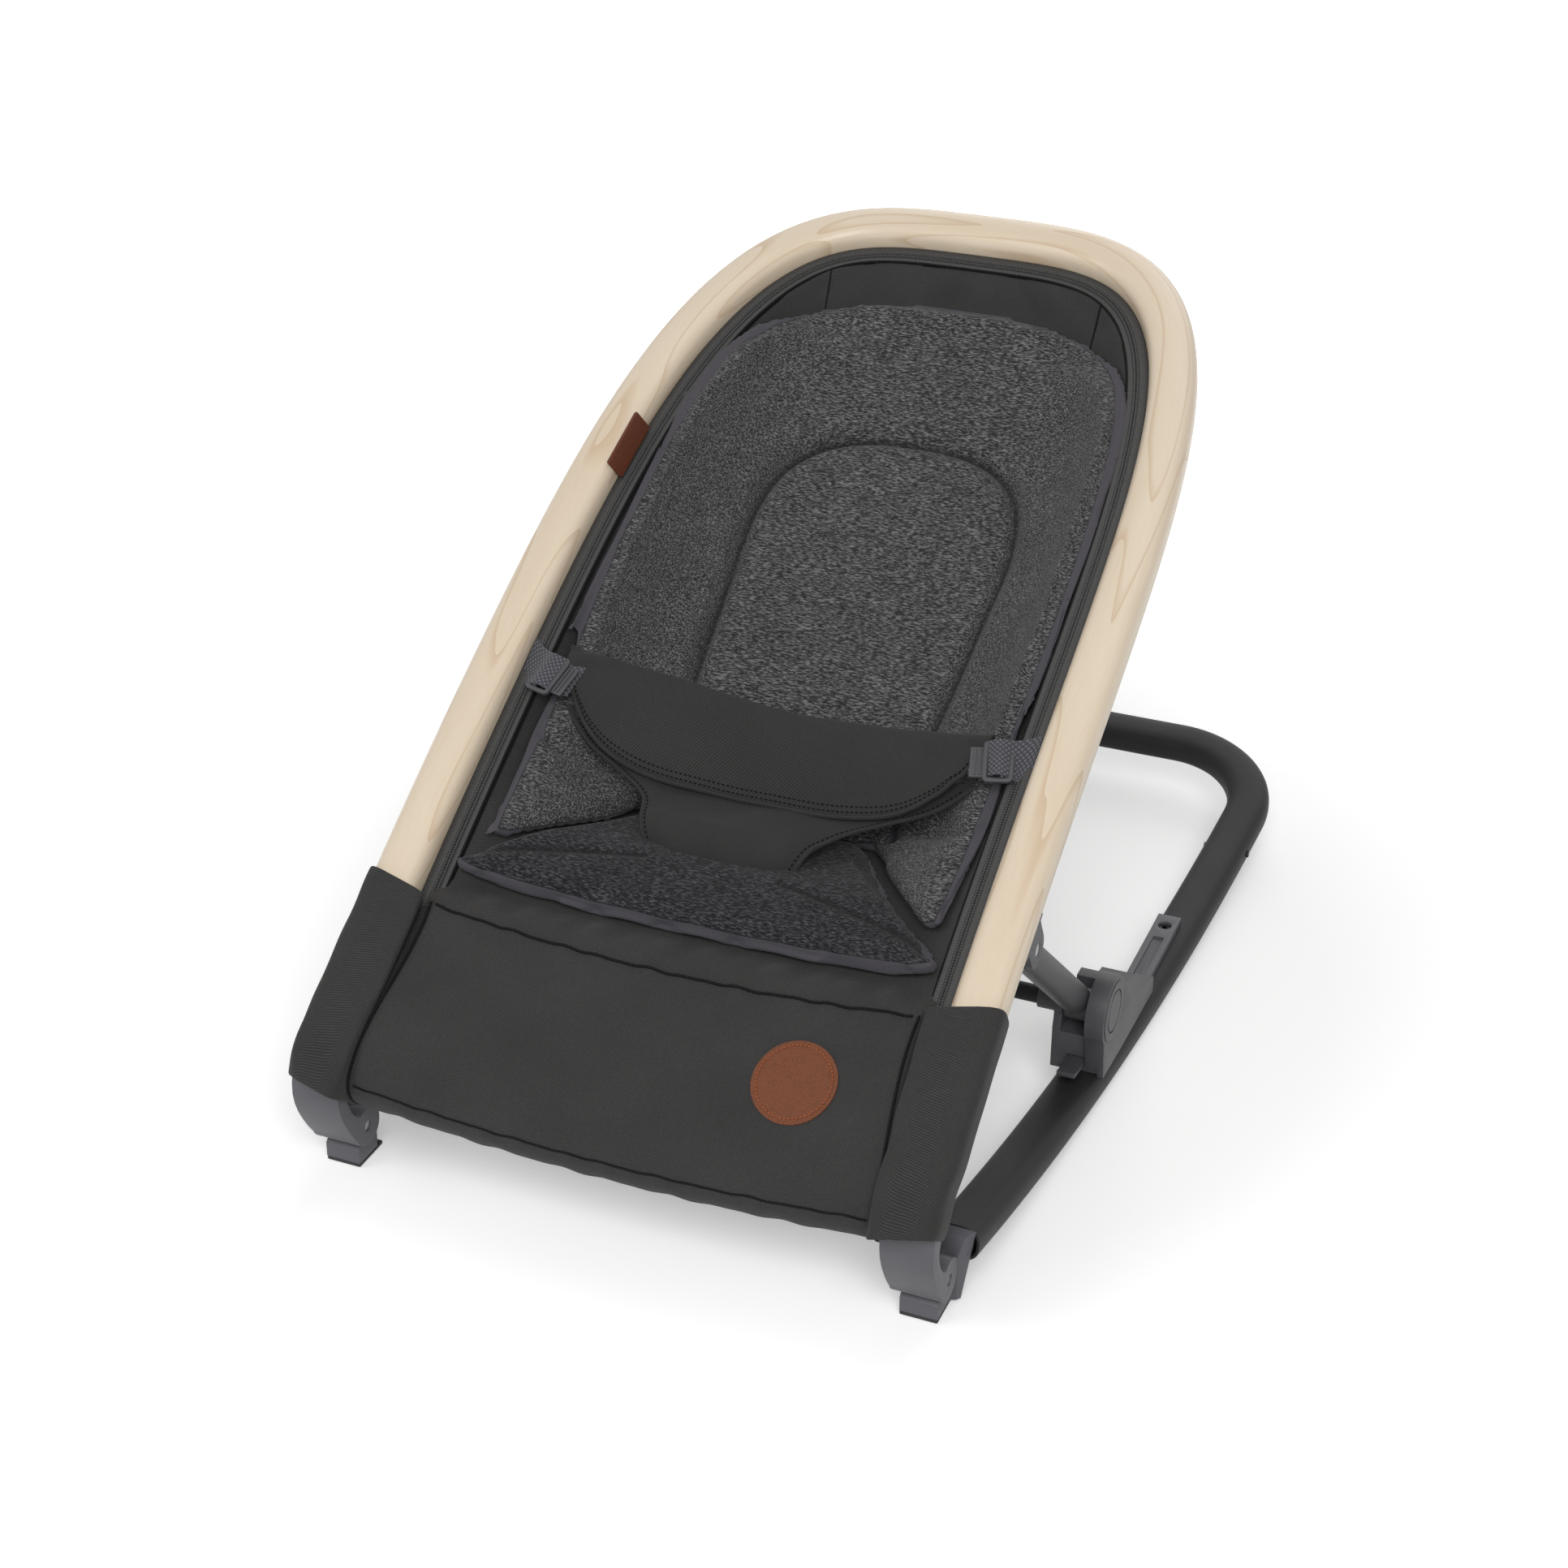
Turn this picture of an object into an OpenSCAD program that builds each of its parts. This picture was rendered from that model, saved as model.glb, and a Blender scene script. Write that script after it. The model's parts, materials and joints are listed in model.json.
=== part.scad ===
// Baby bouncer seat: a bent wooden arch with a padded fabric sling, hinged at the front
// to a rocker base, and held at its angle by two struts on sliders that lock on the rails.
// Millimetres. X to the side, front at -Y, Z up, floor at Z = 0, X = 0 is the middle.

/* [Seat frame] */
// Angle of the seat frame above the floor at rest
seat_angle = 29; // [24:0.5:33]
// Height of the arch's plane above the recline hinge
frame_rise = 57.5; // [54:0.5:64]
// Half width of the arch between the centres of its arms
arch_half_w = 178; // [170:1:184]
// Distance from the hinge to where the arch's rounded end starts
arch_straight = 276; // [250:1:300]
// Length of the arch's rounded end
arch_cap = 410; // [370:1:440]
// Squareness of the rounded end
arch_square = 3.55; // [2.8:0.05:4.2]
// Rise of the arch above its plane at half its length
arch_bow = 19.4; // [10:0.2:24]
// Distance from the hinge to where the bow starts
bow_start = 32; // [25:1:40]
// Width of the wood's face
arch_w = 30; // [27:1:33]
// Thickness of the wood
arch_t = 24; // [22:1:27]
// Distance from the hinge to the wood's cut ends, inside the sleeves
wood_start = 97; // [92:1:104]
// Width of the steel tongue that joins wood and elbow
tongue_w = 16; // [12:1:20]
// Thickness of that tongue
tongue_t = 8; // [6:1:12]
// Depth of that tongue in the wood
tongue_len = 30; // [20:1:40]

/* [Recline hinge] */
// Distance of the hinge behind the origin
hinge_y = 18; // [14:1:24]
// Height of the hinge above the floor
hinge_z = 27; // [26:0.5:32]
// Radius of the hinge pin
hinge_pin_r = 3.5; // [2.5:0.1:4.5]
// Radius of the elbow's ears
ear_r = 12.5; // [11.5:0.1:12.7]
// Thickness of each ear
ear_t = 8.5; // [7:0.1:9.5]
// Radius of the foot's knuckle
knuckle_r = 9.5; // [8:0.1:10]
// Side clearance between ear and knuckle
knuckle_gap = 0.5; // [0.3:0.1:1]

/* [Base tube] */
// Width of the flat-oval tube
tube_w = 29; // [26:1:32]
// Height of the tube
tube_h = 20; // [18:1:22]
// Wall of the tube
tube_wall = 1.5; // [1.2:0.1:2]
// Half width between tube centres at the rear corners
rail_half = 212; // [206:1:218]
// Angle by which each rail turns out towards the rear
rail_toe = 2.7; // [2:0.1:3.2]
// Radius of the rear corners
corner_r = 66; // [55:1:90]
// Distance from the origin to the rear tube
base_len = 637; // [600:1:660]
// Radius of the rockers
rocker_r = 1611; // [1400:1:1900]
// Where the rockers touch the floor
rocker_y = 322; // [312:1:330]
// Where the tube's front ends sit
tube_front = 41; // [39:1:46]

/* [Front feet] */
// Width of a foot block
foot_w = 22; // [18:1:26]
// Front of the foot block
foot_front = 12; // [9:1:15]
// Rear of the foot block
foot_rear = 38; // [36:1:42]
// Top of the foot block
foot_top = 13.8; // [12:0.1:14]
// Thickness of the rubber sole
sole_t = 2.5; // [2:0.1:4]
// Length of the plug inside the tube
plug_len = 28; // [20:1:40]

/* [Struts] */
// Distance of the upper strut pivot from the hinge, along the seat
strut_s = 183.5; // [180:0.5:186]
// Height of the upper strut pivot above the hinge, square to the seat
strut_n = 41; // [38:0.5:43]
// Distance between the strut's pivots
strut_len = 127; // [125:0.1:129]
// Radius of the strut tube
strut_r = 9.5; // [8.5:0.1:10]
// Wall of the strut tube
strut_wall = 1.5; // [1:0.1:2]
// Half distance between the struts' upper ends
strut_top_x = 177.5; // [176:0.5:179]
// Half distance between the struts' lower ends
strut_low_x = 192; // [191:0.5:193]
// Radius of a strut's end eyes
eye_r = 10; // [9:0.1:10.5]
// Width of a strut's end eyes
eye_w = 16; // [14:0.5:16.5]
// Radius of the upper strut pins
strut_pin_r = 4; // [3:0.1:5]
// Thickness of the strut bracket's plates
bracket_t = 4; // [3:0.1:4.5]
// Radius of the bracket screws
screw_r = 2; // [1.5:0.1:2.5]

/* [Sliders] */
// Height of the slider's pivot above the rail's centre line
hub_rise = 51; // [49:0.5:53]
// Radius of the cross bar
bar_r = 5.5; // [4.5:0.1:6]
// Radius of the hub's round cheek
cheek_r = 22; // [20:0.5:23]
// Thickness of the outer cheek
cheek_t = 11.5; // [10:0.5:13]
// Thickness of the inner cheek
inner_cheek_t = 5; // [4:0.5:6]
// Length of the saddle behind the pivot
saddle_len = 93; // [80:1:100]
// Height of the saddle's rear end
saddle_h = 11; // [9.5:0.5:14]
// Radius of the blank cap on the hub
cap_r = 18.8; // [16:0.1:19.5]
// Thickness of the cap
cap_t = 2; // [1.5:0.1:3]
// Width of the lock box's block
box_front = 12.5; // [12:0.5:14]
// Radius of the lock pin
lock_r = 3; // [2.5:0.1:3.5]
// Length of the collars on the cross bar
collar_len = 12; // [8:1:16]
// Radius of the collars
collar_r = 7.5; // [6.8:0.1:9]

/* [Tracks] */
// Middle of each track
track_x = 200; // [199:0.5:201]
// Width of a track
track_w = 15; // [13:1:16]
// Height of a track
track_h = 5; // [4:0.5:5.5]
// Front end of the tracks
track_front = 239; // [237:0.5:240]
// Rear end of the tracks
track_rear = 424; // [420:1:435]
// Clearance between slider and track
track_gap = 0.8; // [0.6:0.1:1]

/* [Release levers] */
// Length of a lever in front of its pivot
lever_len = 26; // [20:1:32]
// Width of a lever
lever_w = 11; // [8:0.5:11.5]
// Thickness of a lever
lever_t = 3; // [2.4:0.1:3.2]

/* [Rear stands] */
// Where the stands hinge
stand_y = 530; // [515:1:536]
// Distance from a stand's pin to the middle of its tip
stand_len = 26; // [22:1:34]
// Width of a stand
stand_w = 11; // [9:1:13]
// Radius of the stand's pin
stand_pin_r = 2.5; // [2:0.1:3]

/* [Fabric] */
// Thickness of the sling and panel fabric
cloth_t = 3; // [2:0.1:4]
// Width of the zip band inside the wood
zip_w = 12; // [9:1:14]
// Front edge of the sling
sling_front = 109; // [104:1:114]
// Split between the sling's seat and back
sling_split = 322; // [315:1:330]
// Thickness of the padded liner
pad_t = 13; // [9:1:16]
// Front edge of the seat pad
pad_front = 137; // [130:1:142]
// Fold between the seat pad and the lumbar pad
pad_fold = 214; // [208:1:222]
// Upper end of the back pad
pad_top = 636; // [620:1:642]
// Half width of the back pad
pad_half = 138; // [125:1:141]
// Half width of the front panel
panel_half = 148; // [140:1:152]
// Half width of the waist flap
flap_half = 131; // [120:1:133]
// Length of the waist flap along the seat
flap_len = 66; // [56:1:72]
// Half width of the crotch flap at its narrow end
crotch_half = 43; // [36:1:52]
// Radius of the leather badge
badge_r = 24; // [18:1:28]
// Width of the webbing
web_w = 20; // [16:1:24]

/* [Hidden] */
$fn = 48;

fit = 0.05;         // radial clearance of a running pin
soft_gap = 0.4;     // clearance round soft pieces
wood_colour = "#dfc9a8";
tube_colour = "#37373a";
elbow_colour = "#5a5a5e";
hub_colour = "#464649";
cloth_colour = "#3a3938";
pad_colour = "#4b4b4c";
leather_colour = "#7d4b32";
steel_colour = "#9a9a9c";

// Seat frame: s runs along the seat from the hinge, n stands square to it
arch_len = arch_straight + arch_cap;
function bow(s) = s < bow_start ? 0
    : arch_bow * 4 * (s - bow_start) * (arch_len - s) / pow(arch_len - bow_start, 2);
function bow_slope(s) = s < bow_start ? 0
    : arch_bow * 4 * (arch_len + bow_start - 2 * s) / pow(arch_len - bow_start, 2);
function cap_r_at(a, w, h, p) = pow(pow(abs(cos(a)) / w, p) + pow(abs(sin(a)) / h, p), -1 / p);
// Outline of the arch, moved inwards by d, from the right arm's end over the top
function arch_outline(d, from, steps, turns) = let(w = arch_half_w - d, h = arch_cap - d) concat(
    [for (i = [0:steps - 1]) [w, from + (arch_straight - from) * i / steps]],
    [for (i = [0:turns]) let(a = 180 * i / turns, r = cap_r_at(a, w, h, arch_square))
        [r * cos(a), arch_straight + r * sin(a)]],
    [for (i = [steps - 1:-1:0]) [-w, from + (arch_straight - from) * i / steps]]);
function half_width(d, s) = let(w = arch_half_w - d, h = arch_cap - d)
    s <= arch_straight ? w
    : w * pow(max(0, 1 - pow((s - arch_straight) / h, arch_square)), 1 / arch_square);

// Hinge, strut and slider places, in the floor's frame
function seat_to_floor(s, n) = [hinge_y + s * cos(seat_angle) - n * sin(seat_angle),
    hinge_z + s * sin(seat_angle) + n * cos(seat_angle)];
rail_z0 = tube_h / 2;
rocker_cz = rail_z0 + rocker_r;
upper_pivot = seat_to_floor(strut_s, strut_n);
// The slider's pivot is where the strut's length meets its arc over the rail
hub_arc = rocker_r - hub_rise;
to_centre = [rocker_y, rocker_cz] - upper_pivot;
centre_dist = norm(to_centre);
along = (strut_len * strut_len - hub_arc * hub_arc + centre_dist * centre_dist) / (2 * centre_dist);
across = sqrt(strut_len * strut_len - along * along);
hub_pivot = upper_pivot + to_centre * (along / centre_dist)
    + [-to_centre[1], to_centre[0]] * (-across / centre_dist);
hub_y = hub_pivot[0];
hub_z = hub_pivot[1];
function rail_z(y) = rocker_cz - sqrt(rocker_r * rocker_r - pow(y - rocker_y, 2));
corner_start = base_len - corner_r - corner_r * sin(rail_toe);
function rail_x(y) = rail_half - corner_r + corner_r * cos(rail_toe)
    - (corner_start - y) * tan(rail_toe);
tube_top = rocker_r - tube_h / 2;

// A ring of points: w wide, h high, with squareness p
function oval(w, h, p, sides) = [for (i = [0:sides - 1]) let(a = 360 * (i + 0.5) / sides)
    [w / 2 * sign(cos(a)) * pow(abs(cos(a)), 2 / p), h / 2 * sign(sin(a)) * pow(abs(sin(a)), 2 / p)]];
function unit(v) = v / norm(v);
function tangent(path, i) = unit(path[min(i + 1, len(path) - 1)] - path[max(i - 1, 0)]);
// Rings of a section swept along a path; up(i) is near the section's height direction
function rings(path, ups, section) = [for (i = [0:len(path) - 1])
    let(t = tangent(path, i), w = unit(cross(t, ups[i])), h = cross(w, t))
    for (q = section) path[i] + w * q[0] + h * q[1]];
function side_faces(n, m, base, flip) = [for (i = [0:n - 2]) for (j = [0:m - 1])
    let(a = base + i * m + j, b = base + i * m + (j + 1) % m)
    flip ? [a, a + m, b + m, b] : [a, b, b + m, a + m]];

module swept(path, ups, section) {
    n = len(path);
    m = len(section);
    polyhedron(points = rings(path, ups, section), faces = concat(
        side_faces(n, m, 0, false),
        [[for (j = [m - 1:-1:0]) j]],
        [[for (j = [0:m - 1]) (n - 1) * m + j]]), convexity = 6);
}
module swept_tube(path, ups, outer, inner) {
    n = len(path);
    m = len(outer);
    k = n * m;
    polyhedron(points = concat(rings(path, ups, outer), rings(path, ups, inner)), faces = concat(
        side_faces(n, m, 0, false),
        side_faces(n, m, k, true),
        [for (j = [0:m - 1]) [k + j, k + (j + 1) % m, (j + 1) % m, j]],
        [for (j = [0:m - 1]) let(e = (n - 1) * m) [e + j, e + (j + 1) % m, k + e + (j + 1) % m, k + e + j]]),
        convexity = 6);
}
// A padded or cloth shell between two grids of points of rows x cols
module shell(top, bottom, rows, cols) {
    k = rows * cols;
    function at(r, c) = r * cols + c;
    polyhedron(points = concat(top, bottom), faces = concat(
        [for (r = [0:rows - 2]) for (c = [0:cols - 2]) each
            [[at(r, c), at(r + 1, c), at(r + 1, c + 1)], [at(r, c), at(r + 1, c + 1), at(r, c + 1)]]],
        [for (r = [0:rows - 2]) for (c = [0:cols - 2]) each
            [[k + at(r, c), k + at(r + 1, c + 1), k + at(r + 1, c)],
            [k + at(r, c), k + at(r, c + 1), k + at(r + 1, c + 1)]]],
        [for (r = [0:rows - 2]) each
            [[at(r, 0), k + at(r, 0), k + at(r + 1, 0), at(r + 1, 0)],
            [at(r, cols - 1), at(r + 1, cols - 1), k + at(r + 1, cols - 1), k + at(r, cols - 1)]]],
        [for (c = [0:cols - 2]) each
            [[at(0, c), at(0, c + 1), k + at(0, c + 1), k + at(0, c)],
            [at(rows - 1, c), k + at(rows - 1, c), k + at(rows - 1, c + 1), at(rows - 1, c + 1)]]]),
        convexity = 6);
}
module on_seat() translate([0, hinge_y, hinge_z]) rotate([seat_angle, 0, 0]) children();
// A flat outline in (Y, Z), given thickness from x0 to x1
module slab(x0, x1) translate([x0, 0, 0]) rotate([90, 0, 90]) linear_extrude(x1 - x0) children();
module rod(r, x0, x1, y, z) translate([x0, y, z]) rotate([0, 90, 0]) cylinder(r = r, h = x1 - x0);
module placed() translate([0, -middle_y, 0]) children();
module handed(side) mirror([side < 0 ? 1 : 0, 0, 0]) children();
module both() for (side = [-1, 1]) handed(side) children();
// A bar bent to the rocker's arc, between two depths below the rocker's centre
module on_rocker(r0, r1, x0, x1, ya, yb) translate([0, rocker_y, rocker_cz]) rotate([0, 90, 0])
    rotate([0, 0, asin((ya - rocker_y) / rocker_r)])
    rotate_extrude(angle = asin((yb - rocker_y) / rocker_r) - asin((ya - rocker_y) / rocker_r), $fn = 720)
    translate([r0, x0]) square([r1 - r0, x1 - x0]);

// ---------------------------------------------------------------- base
plan_right = concat(
    [for (i = [0:11]) let(y = tube_front + (corner_start - tube_front) * i / 11) [rail_x(y), y]],
    [for (i = [1:9]) let(a = -rail_toe + (90 + rail_toe) * i / 9)
        [rail_half - corner_r + corner_r * cos(a), base_len - corner_r + corner_r * sin(a)]]);
plan = concat(plan_right, [for (i = [len(plan_right) - 1:-1:0]) [-plan_right[i][0], plan_right[i][1]]]);
tube_path = [for (p = plan) [p[0], p[1], rail_z(p[1])]];
tube_ups = [for (p = plan) [0, -(p[1] - rocker_y) / rocker_r, 1]];
stand_z = rail_z(stand_y);
stand_x = rail_x(stand_y);

module base_tube() color(tube_colour) difference() {
    swept_tube(tube_path, tube_ups, oval(tube_w, tube_h, 2.8, 20),
        oval(tube_w - 2 * tube_wall, tube_h - 2 * tube_wall, 2.8, 20));
    both() {
        rod(stand_pin_r + fit, stand_x - tube_w, stand_x + tube_w, stand_y, stand_z);
        translate([stand_x - stand_w / 2 - 1, stand_y - stand_len - 8, stand_z - tube_h])
            cube([stand_w + 2, stand_len + 17, tube_h]);
    }
}
// Side view of the foot's body, from knuckle to tube
foot_x = arch_half_w;
flat_angle = 28;     // how far the seat folds down from rest
web_top = 6.5;       // top of the knuckle's web above the hinge
plug_z = rail_z(tube_front);
plug_front = hinge_y + ear_r + 1.2;
module foot_outline() polygon([
    [plug_front, hinge_z + 3], [tube_front - 5, plug_z + tube_h / 2 - 2],
    [tube_front + 3, plug_z + tube_h / 2 - 0.5], [tube_front + 3, plug_z - tube_h / 2],
    [tube_front - 2, plug_z - tube_h / 2 + 0.4], [foot_rear, foot_top - 3], [foot_rear, sole_t],
    [foot_front, sole_t], [foot_front, foot_top - 2], [foot_front + 2, foot_top], [plug_front, foot_top]]);
module foot_plan() polygon([
    [foot_x - foot_w / 2, foot_front - 1], [foot_x + foot_w / 2, foot_front - 1],
    [foot_x + foot_w / 2, plug_front - 1], [foot_x + ear_t + 6, plug_front + 0.5],
    [rail_x(tube_front) + tube_w / 2 - 1, tube_front + 3],
    [rail_x(tube_front) - tube_w / 2 + 1, tube_front + 3],
    [foot_x - foot_w / 2, plug_front]]);
plug_w = tube_w - 2 * tube_wall - 7;
plug_h = tube_h - 2 * tube_wall - 7;
// The tube's front end, looking along the tube
module at_tube_end() translate([rail_x(tube_front), tube_front, plug_z])
    rotate([asin((tube_front - rocker_y) / rocker_r), 0, -rail_toe]) children();
module front_foot(side) color(elbow_colour) handed(side) {
    kx0 = foot_x - arch_w / 2 + ear_t + knuckle_gap;
    kx1 = foot_x + arch_w / 2 - ear_t - knuckle_gap;
    difference() {
        union() {
            difference() {
                intersection() {
                    slab(foot_x - 40, foot_x + 40) foot_outline();
                    linear_extrude(plug_z + tube_h) foot_plan();
                }
                at_tube_end() translate([-40, -0.25, -40]) cube(80);
            }
            rod(knuckle_r, kx0, kx1, hinge_y, hinge_z);
            translate([kx0, hinge_y, hinge_z - 5.5])
                cube([kx1 - kx0, plug_front - hinge_y + 1, 5.5 + web_top]);
            at_tube_end() translate([-plug_w / 2, -3, -plug_h / 2]) cube([plug_w, plug_len + 3, plug_h]);
        }
        rod(hinge_pin_r, kx0 - 1, kx1 + 1, hinge_y, hinge_z);
    }
}
module foot_sole(side) color("#2b2b2d") handed(side)
    translate([foot_x - foot_w / 2, foot_front, 0]) cube([foot_w, foot_rear - foot_front, sole_t]);
module hinge_pins() color(steel_colour) both()
    rod(hinge_pin_r, foot_x - arch_w / 2 + 1, foot_x + arch_w / 2 - 1, hinge_y, hinge_z);

track_seat = 0.1;      // from the tube's crown to the track
track_r0 = tube_top - track_seat - track_h;
lock_y = hub_y + 1;
lock_holes = [lock_y, lock_y + 42, lock_y + 84];
track_screw_y = [track_front + 32, track_rear - 13];
module track(side) color(elbow_colour) handed(side) difference() {
    on_rocker(track_r0, track_r0 + track_h, track_x - track_w / 2, track_x + track_w / 2,
        track_front, track_rear);
    on_rocker(track_r0 - 1, track_r0 + 1.8, track_x - track_w / 2 + 4, track_x + track_w / 2 - 4,
        track_front + 8, track_rear - 26);
    for (y = track_screw_y) {
        translate([track_x, y, rail_z(y)]) cylinder(r = screw_r, h = tube_h);
        translate([track_x, y, rail_z(y) + tube_h / 2 + track_h - 3.6]) cylinder(r = 4.4, h = 6);
    }
    for (y = lock_holes) translate([track_x, y, rail_z(y)]) cylinder(r = lock_r + 0.4, h = tube_h);
}
module track_screws() color("#1c1c1e") both() for (y = track_screw_y)
    translate([track_x, y, rail_z(y) + tube_h / 2 + track_h - 3.6]) difference() {
        union() {
            cylinder(r = 4, h = 2.2);
            translate([0, 0, -1.2]) cylinder(r = screw_r, h = 1.3);
        }
        translate([0, 0, 1]) cylinder(r = 2, h = 2, $fn = 6);
    }
module stand_pins() color(steel_colour) both()
    rod(stand_pin_r, stand_x - tube_w / 2 - 1, stand_x + tube_w / 2 + 1, stand_y, stand_z);
module rear_stand(side) color(elbow_colour) handed(side) difference() {
    union() {
        rod(6, stand_x - stand_w / 2, stand_x + stand_w / 2, stand_y, stand_z);
        rod(4, stand_x - stand_w / 2, stand_x + stand_w / 2, stand_y - stand_len, stand_z - 4);
        slab(stand_x - stand_w / 2, stand_x + stand_w / 2) polygon([
            [stand_y, stand_z + 6], [stand_y, stand_z - 6], [stand_y - stand_len, stand_z - 8],
            [stand_y - stand_len, stand_z]]);
    }
    rod(stand_pin_r + fit, stand_x - stand_w, stand_x + stand_w, stand_y, stand_z);
}

// ---------------------------------------------------------------- seat frame
function on_arch(p, lift) = [p[0], p[1], frame_rise + bow(p[1]) + lift];
wood_plan = arch_outline(0, wood_start, 6, 44);
wood_path = [for (p = wood_plan) on_arch(p, 0)];
wood_ups = [for (p = wood_plan) [0, -bow_slope(p[1]), 1]];
arm_tilt = atan(bow_slope(wood_start));
arm_n = frame_rise + bow(wood_start);
bracket_top = frame_rise + bow(strut_s) - arch_t / 2;
bracket_holes = [strut_s - 9, strut_s + 9];
// The arm's own frame, at the wood's cut end and square to it
module at_arm_end() translate([arch_half_w, wood_start, arm_n]) rotate([arm_tilt, 0, 0]) children();

module wood_arch() color(wood_colour) on_seat() difference() {
    swept(wood_path, wood_ups, oval(arch_w, arch_t, 2.7, 20));
    both() {
        at_arm_end() translate([-tongue_w / 2, -5, -tongue_t / 2])
            cube([tongue_w, tongue_len + 5.3, tongue_t]);
        for (s = bracket_holes) translate([arch_half_w, s, bracket_top - 5]) cylinder(r = screw_r, h = 17);
    }
}
arm_len = 66;
module arm_tube(side) color(tube_colour) on_seat() handed(side) at_arm_end() {
    translate([-tongue_w / 2, -arm_len, -tongue_t / 2]) cube([tongue_w, arm_len + tongue_len, tongue_t]);
    difference() {
        translate([-11, -arm_len + 24, -8]) cube([22, arm_len - 24, 16]);
        translate([-tongue_w / 2, -arm_len, -tongue_t / 2]) cube([tongue_w, arm_len + 1, tongue_t]);
    }
}
// Points on a cubic curve
function curve(a, b, c, d, n, first = 0) = [for (i = [first:n]) let(t = i / n)
    a * pow(1 - t, 3) + b * 3 * t * pow(1 - t, 2) + c * 3 * t * t * (1 - t) + d * pow(t, 3)];
elbow_s = 40;
elbow_top = frame_rise + bow(elbow_s);
elbow_front = concat(
    curve([elbow_s, elbow_top + 10], [14, elbow_top + 6.5], [-10.5, elbow_top - 3], [-12.8, 28], 10),
    curve([-12.8, 28], [-13.4, 22], [-13.4, 14], [-13, 8], 4, 1));
module elbow_outline() {
    circle(r = ear_r);
    polygon(concat(elbow_front,
        [[-12.2, 0], [2, 4]],
        curve([2, 9], [-6, 16], [-5.5, 27], [-2, 36], 5),
        curve([-2, 36], [3, elbow_top - 16], [18, elbow_top - 12], [elbow_s, elbow_top - 10], 6, 1)));
}
module elbow(side) color(elbow_colour) on_seat() handed(side) difference() {
    slab(arch_half_w - arch_w / 2, arch_half_w + arch_w / 2) elbow_outline();
    // slot for the foot's knuckle, open to the rear
    slab(foot_x - arch_w / 2 + ear_t, foot_x + arch_w / 2 - ear_t) {
        circle(r = knuckle_r + 0.4);
        rotate(flat_angle - seat_angle) translate([-1, -40]) square([50, 40 + web_top + 0.6]);
    }
    rod(hinge_pin_r + fit, foot_x - 40, foot_x + 40, 0, 0);
    at_arm_end() translate([-tongue_w / 2, -arm_len, -tongue_t / 2]) cube([tongue_w, arm_len, tongue_t]);
}
module strut_bracket(side) color(hub_colour) on_seat() handed(side) difference() {
    union() {
        for (x = [-1, 1]) slab(strut_top_x + x * (eye_w / 2 + 0.4 + bracket_t / 2) - bracket_t / 2,
            strut_top_x + x * (eye_w / 2 + 0.4 + bracket_t / 2) + bracket_t / 2) {
            translate([strut_s, strut_n]) circle(r = eye_r + 1);
            translate([strut_s - eye_r - 1, strut_n]) square([2 * eye_r + 2, bracket_top - strut_n - 1]);
        }
        slab(strut_top_x - eye_w / 2 - 0.4 - bracket_t, strut_top_x + eye_w / 2 + 0.4 + bracket_t) polygon([
            for (k = [[-15, -5], [15, -5], [15, -0.15], [-15, -0.15]])
                [strut_s + k[0], bracket_top + k[0] * bow_slope(strut_s) + k[1]]]);
    }
    rod(strut_pin_r, strut_top_x - 20, strut_top_x + 20, strut_s, strut_n);
    for (s = bracket_holes) translate([arch_half_w, s, bracket_top - 7]) cylinder(r = screw_r + 0.2, h = 20);
}
module bracket_screws() color(steel_colour) on_seat() both() for (s = bracket_holes)
    translate([arch_half_w, s, bracket_top - 5]) {
        translate([0, 0, -1.2]) cylinder(r = screw_r, h = 17.5);
        translate([0, 0, -2.8]) cylinder(r = 3.6, h = 2);
    }
module strut_pins() color(steel_colour) on_seat() both() rod(strut_pin_r,
    strut_top_x - eye_w / 2 - bracket_t, strut_top_x + eye_w / 2 + bracket_t, strut_s, strut_n);

// ---------------------------------------------------------------- struts
// The strut's own frame: from its lower pivot, with Z towards the upper one
strut_low = [strut_low_x, hub_y, hub_z];
strut_top = [strut_top_x, upper_pivot[0], upper_pivot[1]];
strut_dir = strut_top - strut_low;
strut_span = norm(strut_dir);
eye_reach = 16;
module on_strut() translate(strut_low)
    rotate([0, acos(strut_dir[2] / strut_span), atan2(strut_dir[1], strut_dir[0])]) children();
module strut(side) color(elbow_colour) handed(side) on_strut() difference() {
    translate([0, 0, eye_reach]) cylinder(r = strut_r, h = strut_span - 2 * eye_reach);
    translate([0, 0, eye_reach - 1]) cylinder(r = strut_r - strut_wall, h = strut_span);
}
module strut_end(at, turn, bore) difference() {
    union() {
        rod(eye_r, at[0] - eye_w / 2, at[0] + eye_w / 2, at[1], at[2]);
        on_strut() translate([0, 0, turn ? strut_span : 0]) mirror([0, 0, turn ? 1 : 0]) {
            translate([0, 0, 2]) cylinder(r = eye_w / 2 - 2, h = eye_reach - 2);
            translate([0, 0, eye_reach - 3]) cylinder(r = strut_r - strut_wall, h = 19);
            translate([0, 0, eye_reach - 3]) cylinder(r = strut_r, h = 3);
        }
    }
    rod(bore + fit, at[0] - 30, at[0] + 30, at[1], at[2]);
}
module strut_foot(side) color(hub_colour) handed(side) strut_end(strut_low, false, bar_r);
module strut_head(side) color(hub_colour) handed(side) strut_end(strut_top, true, strut_pin_r);

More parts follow.
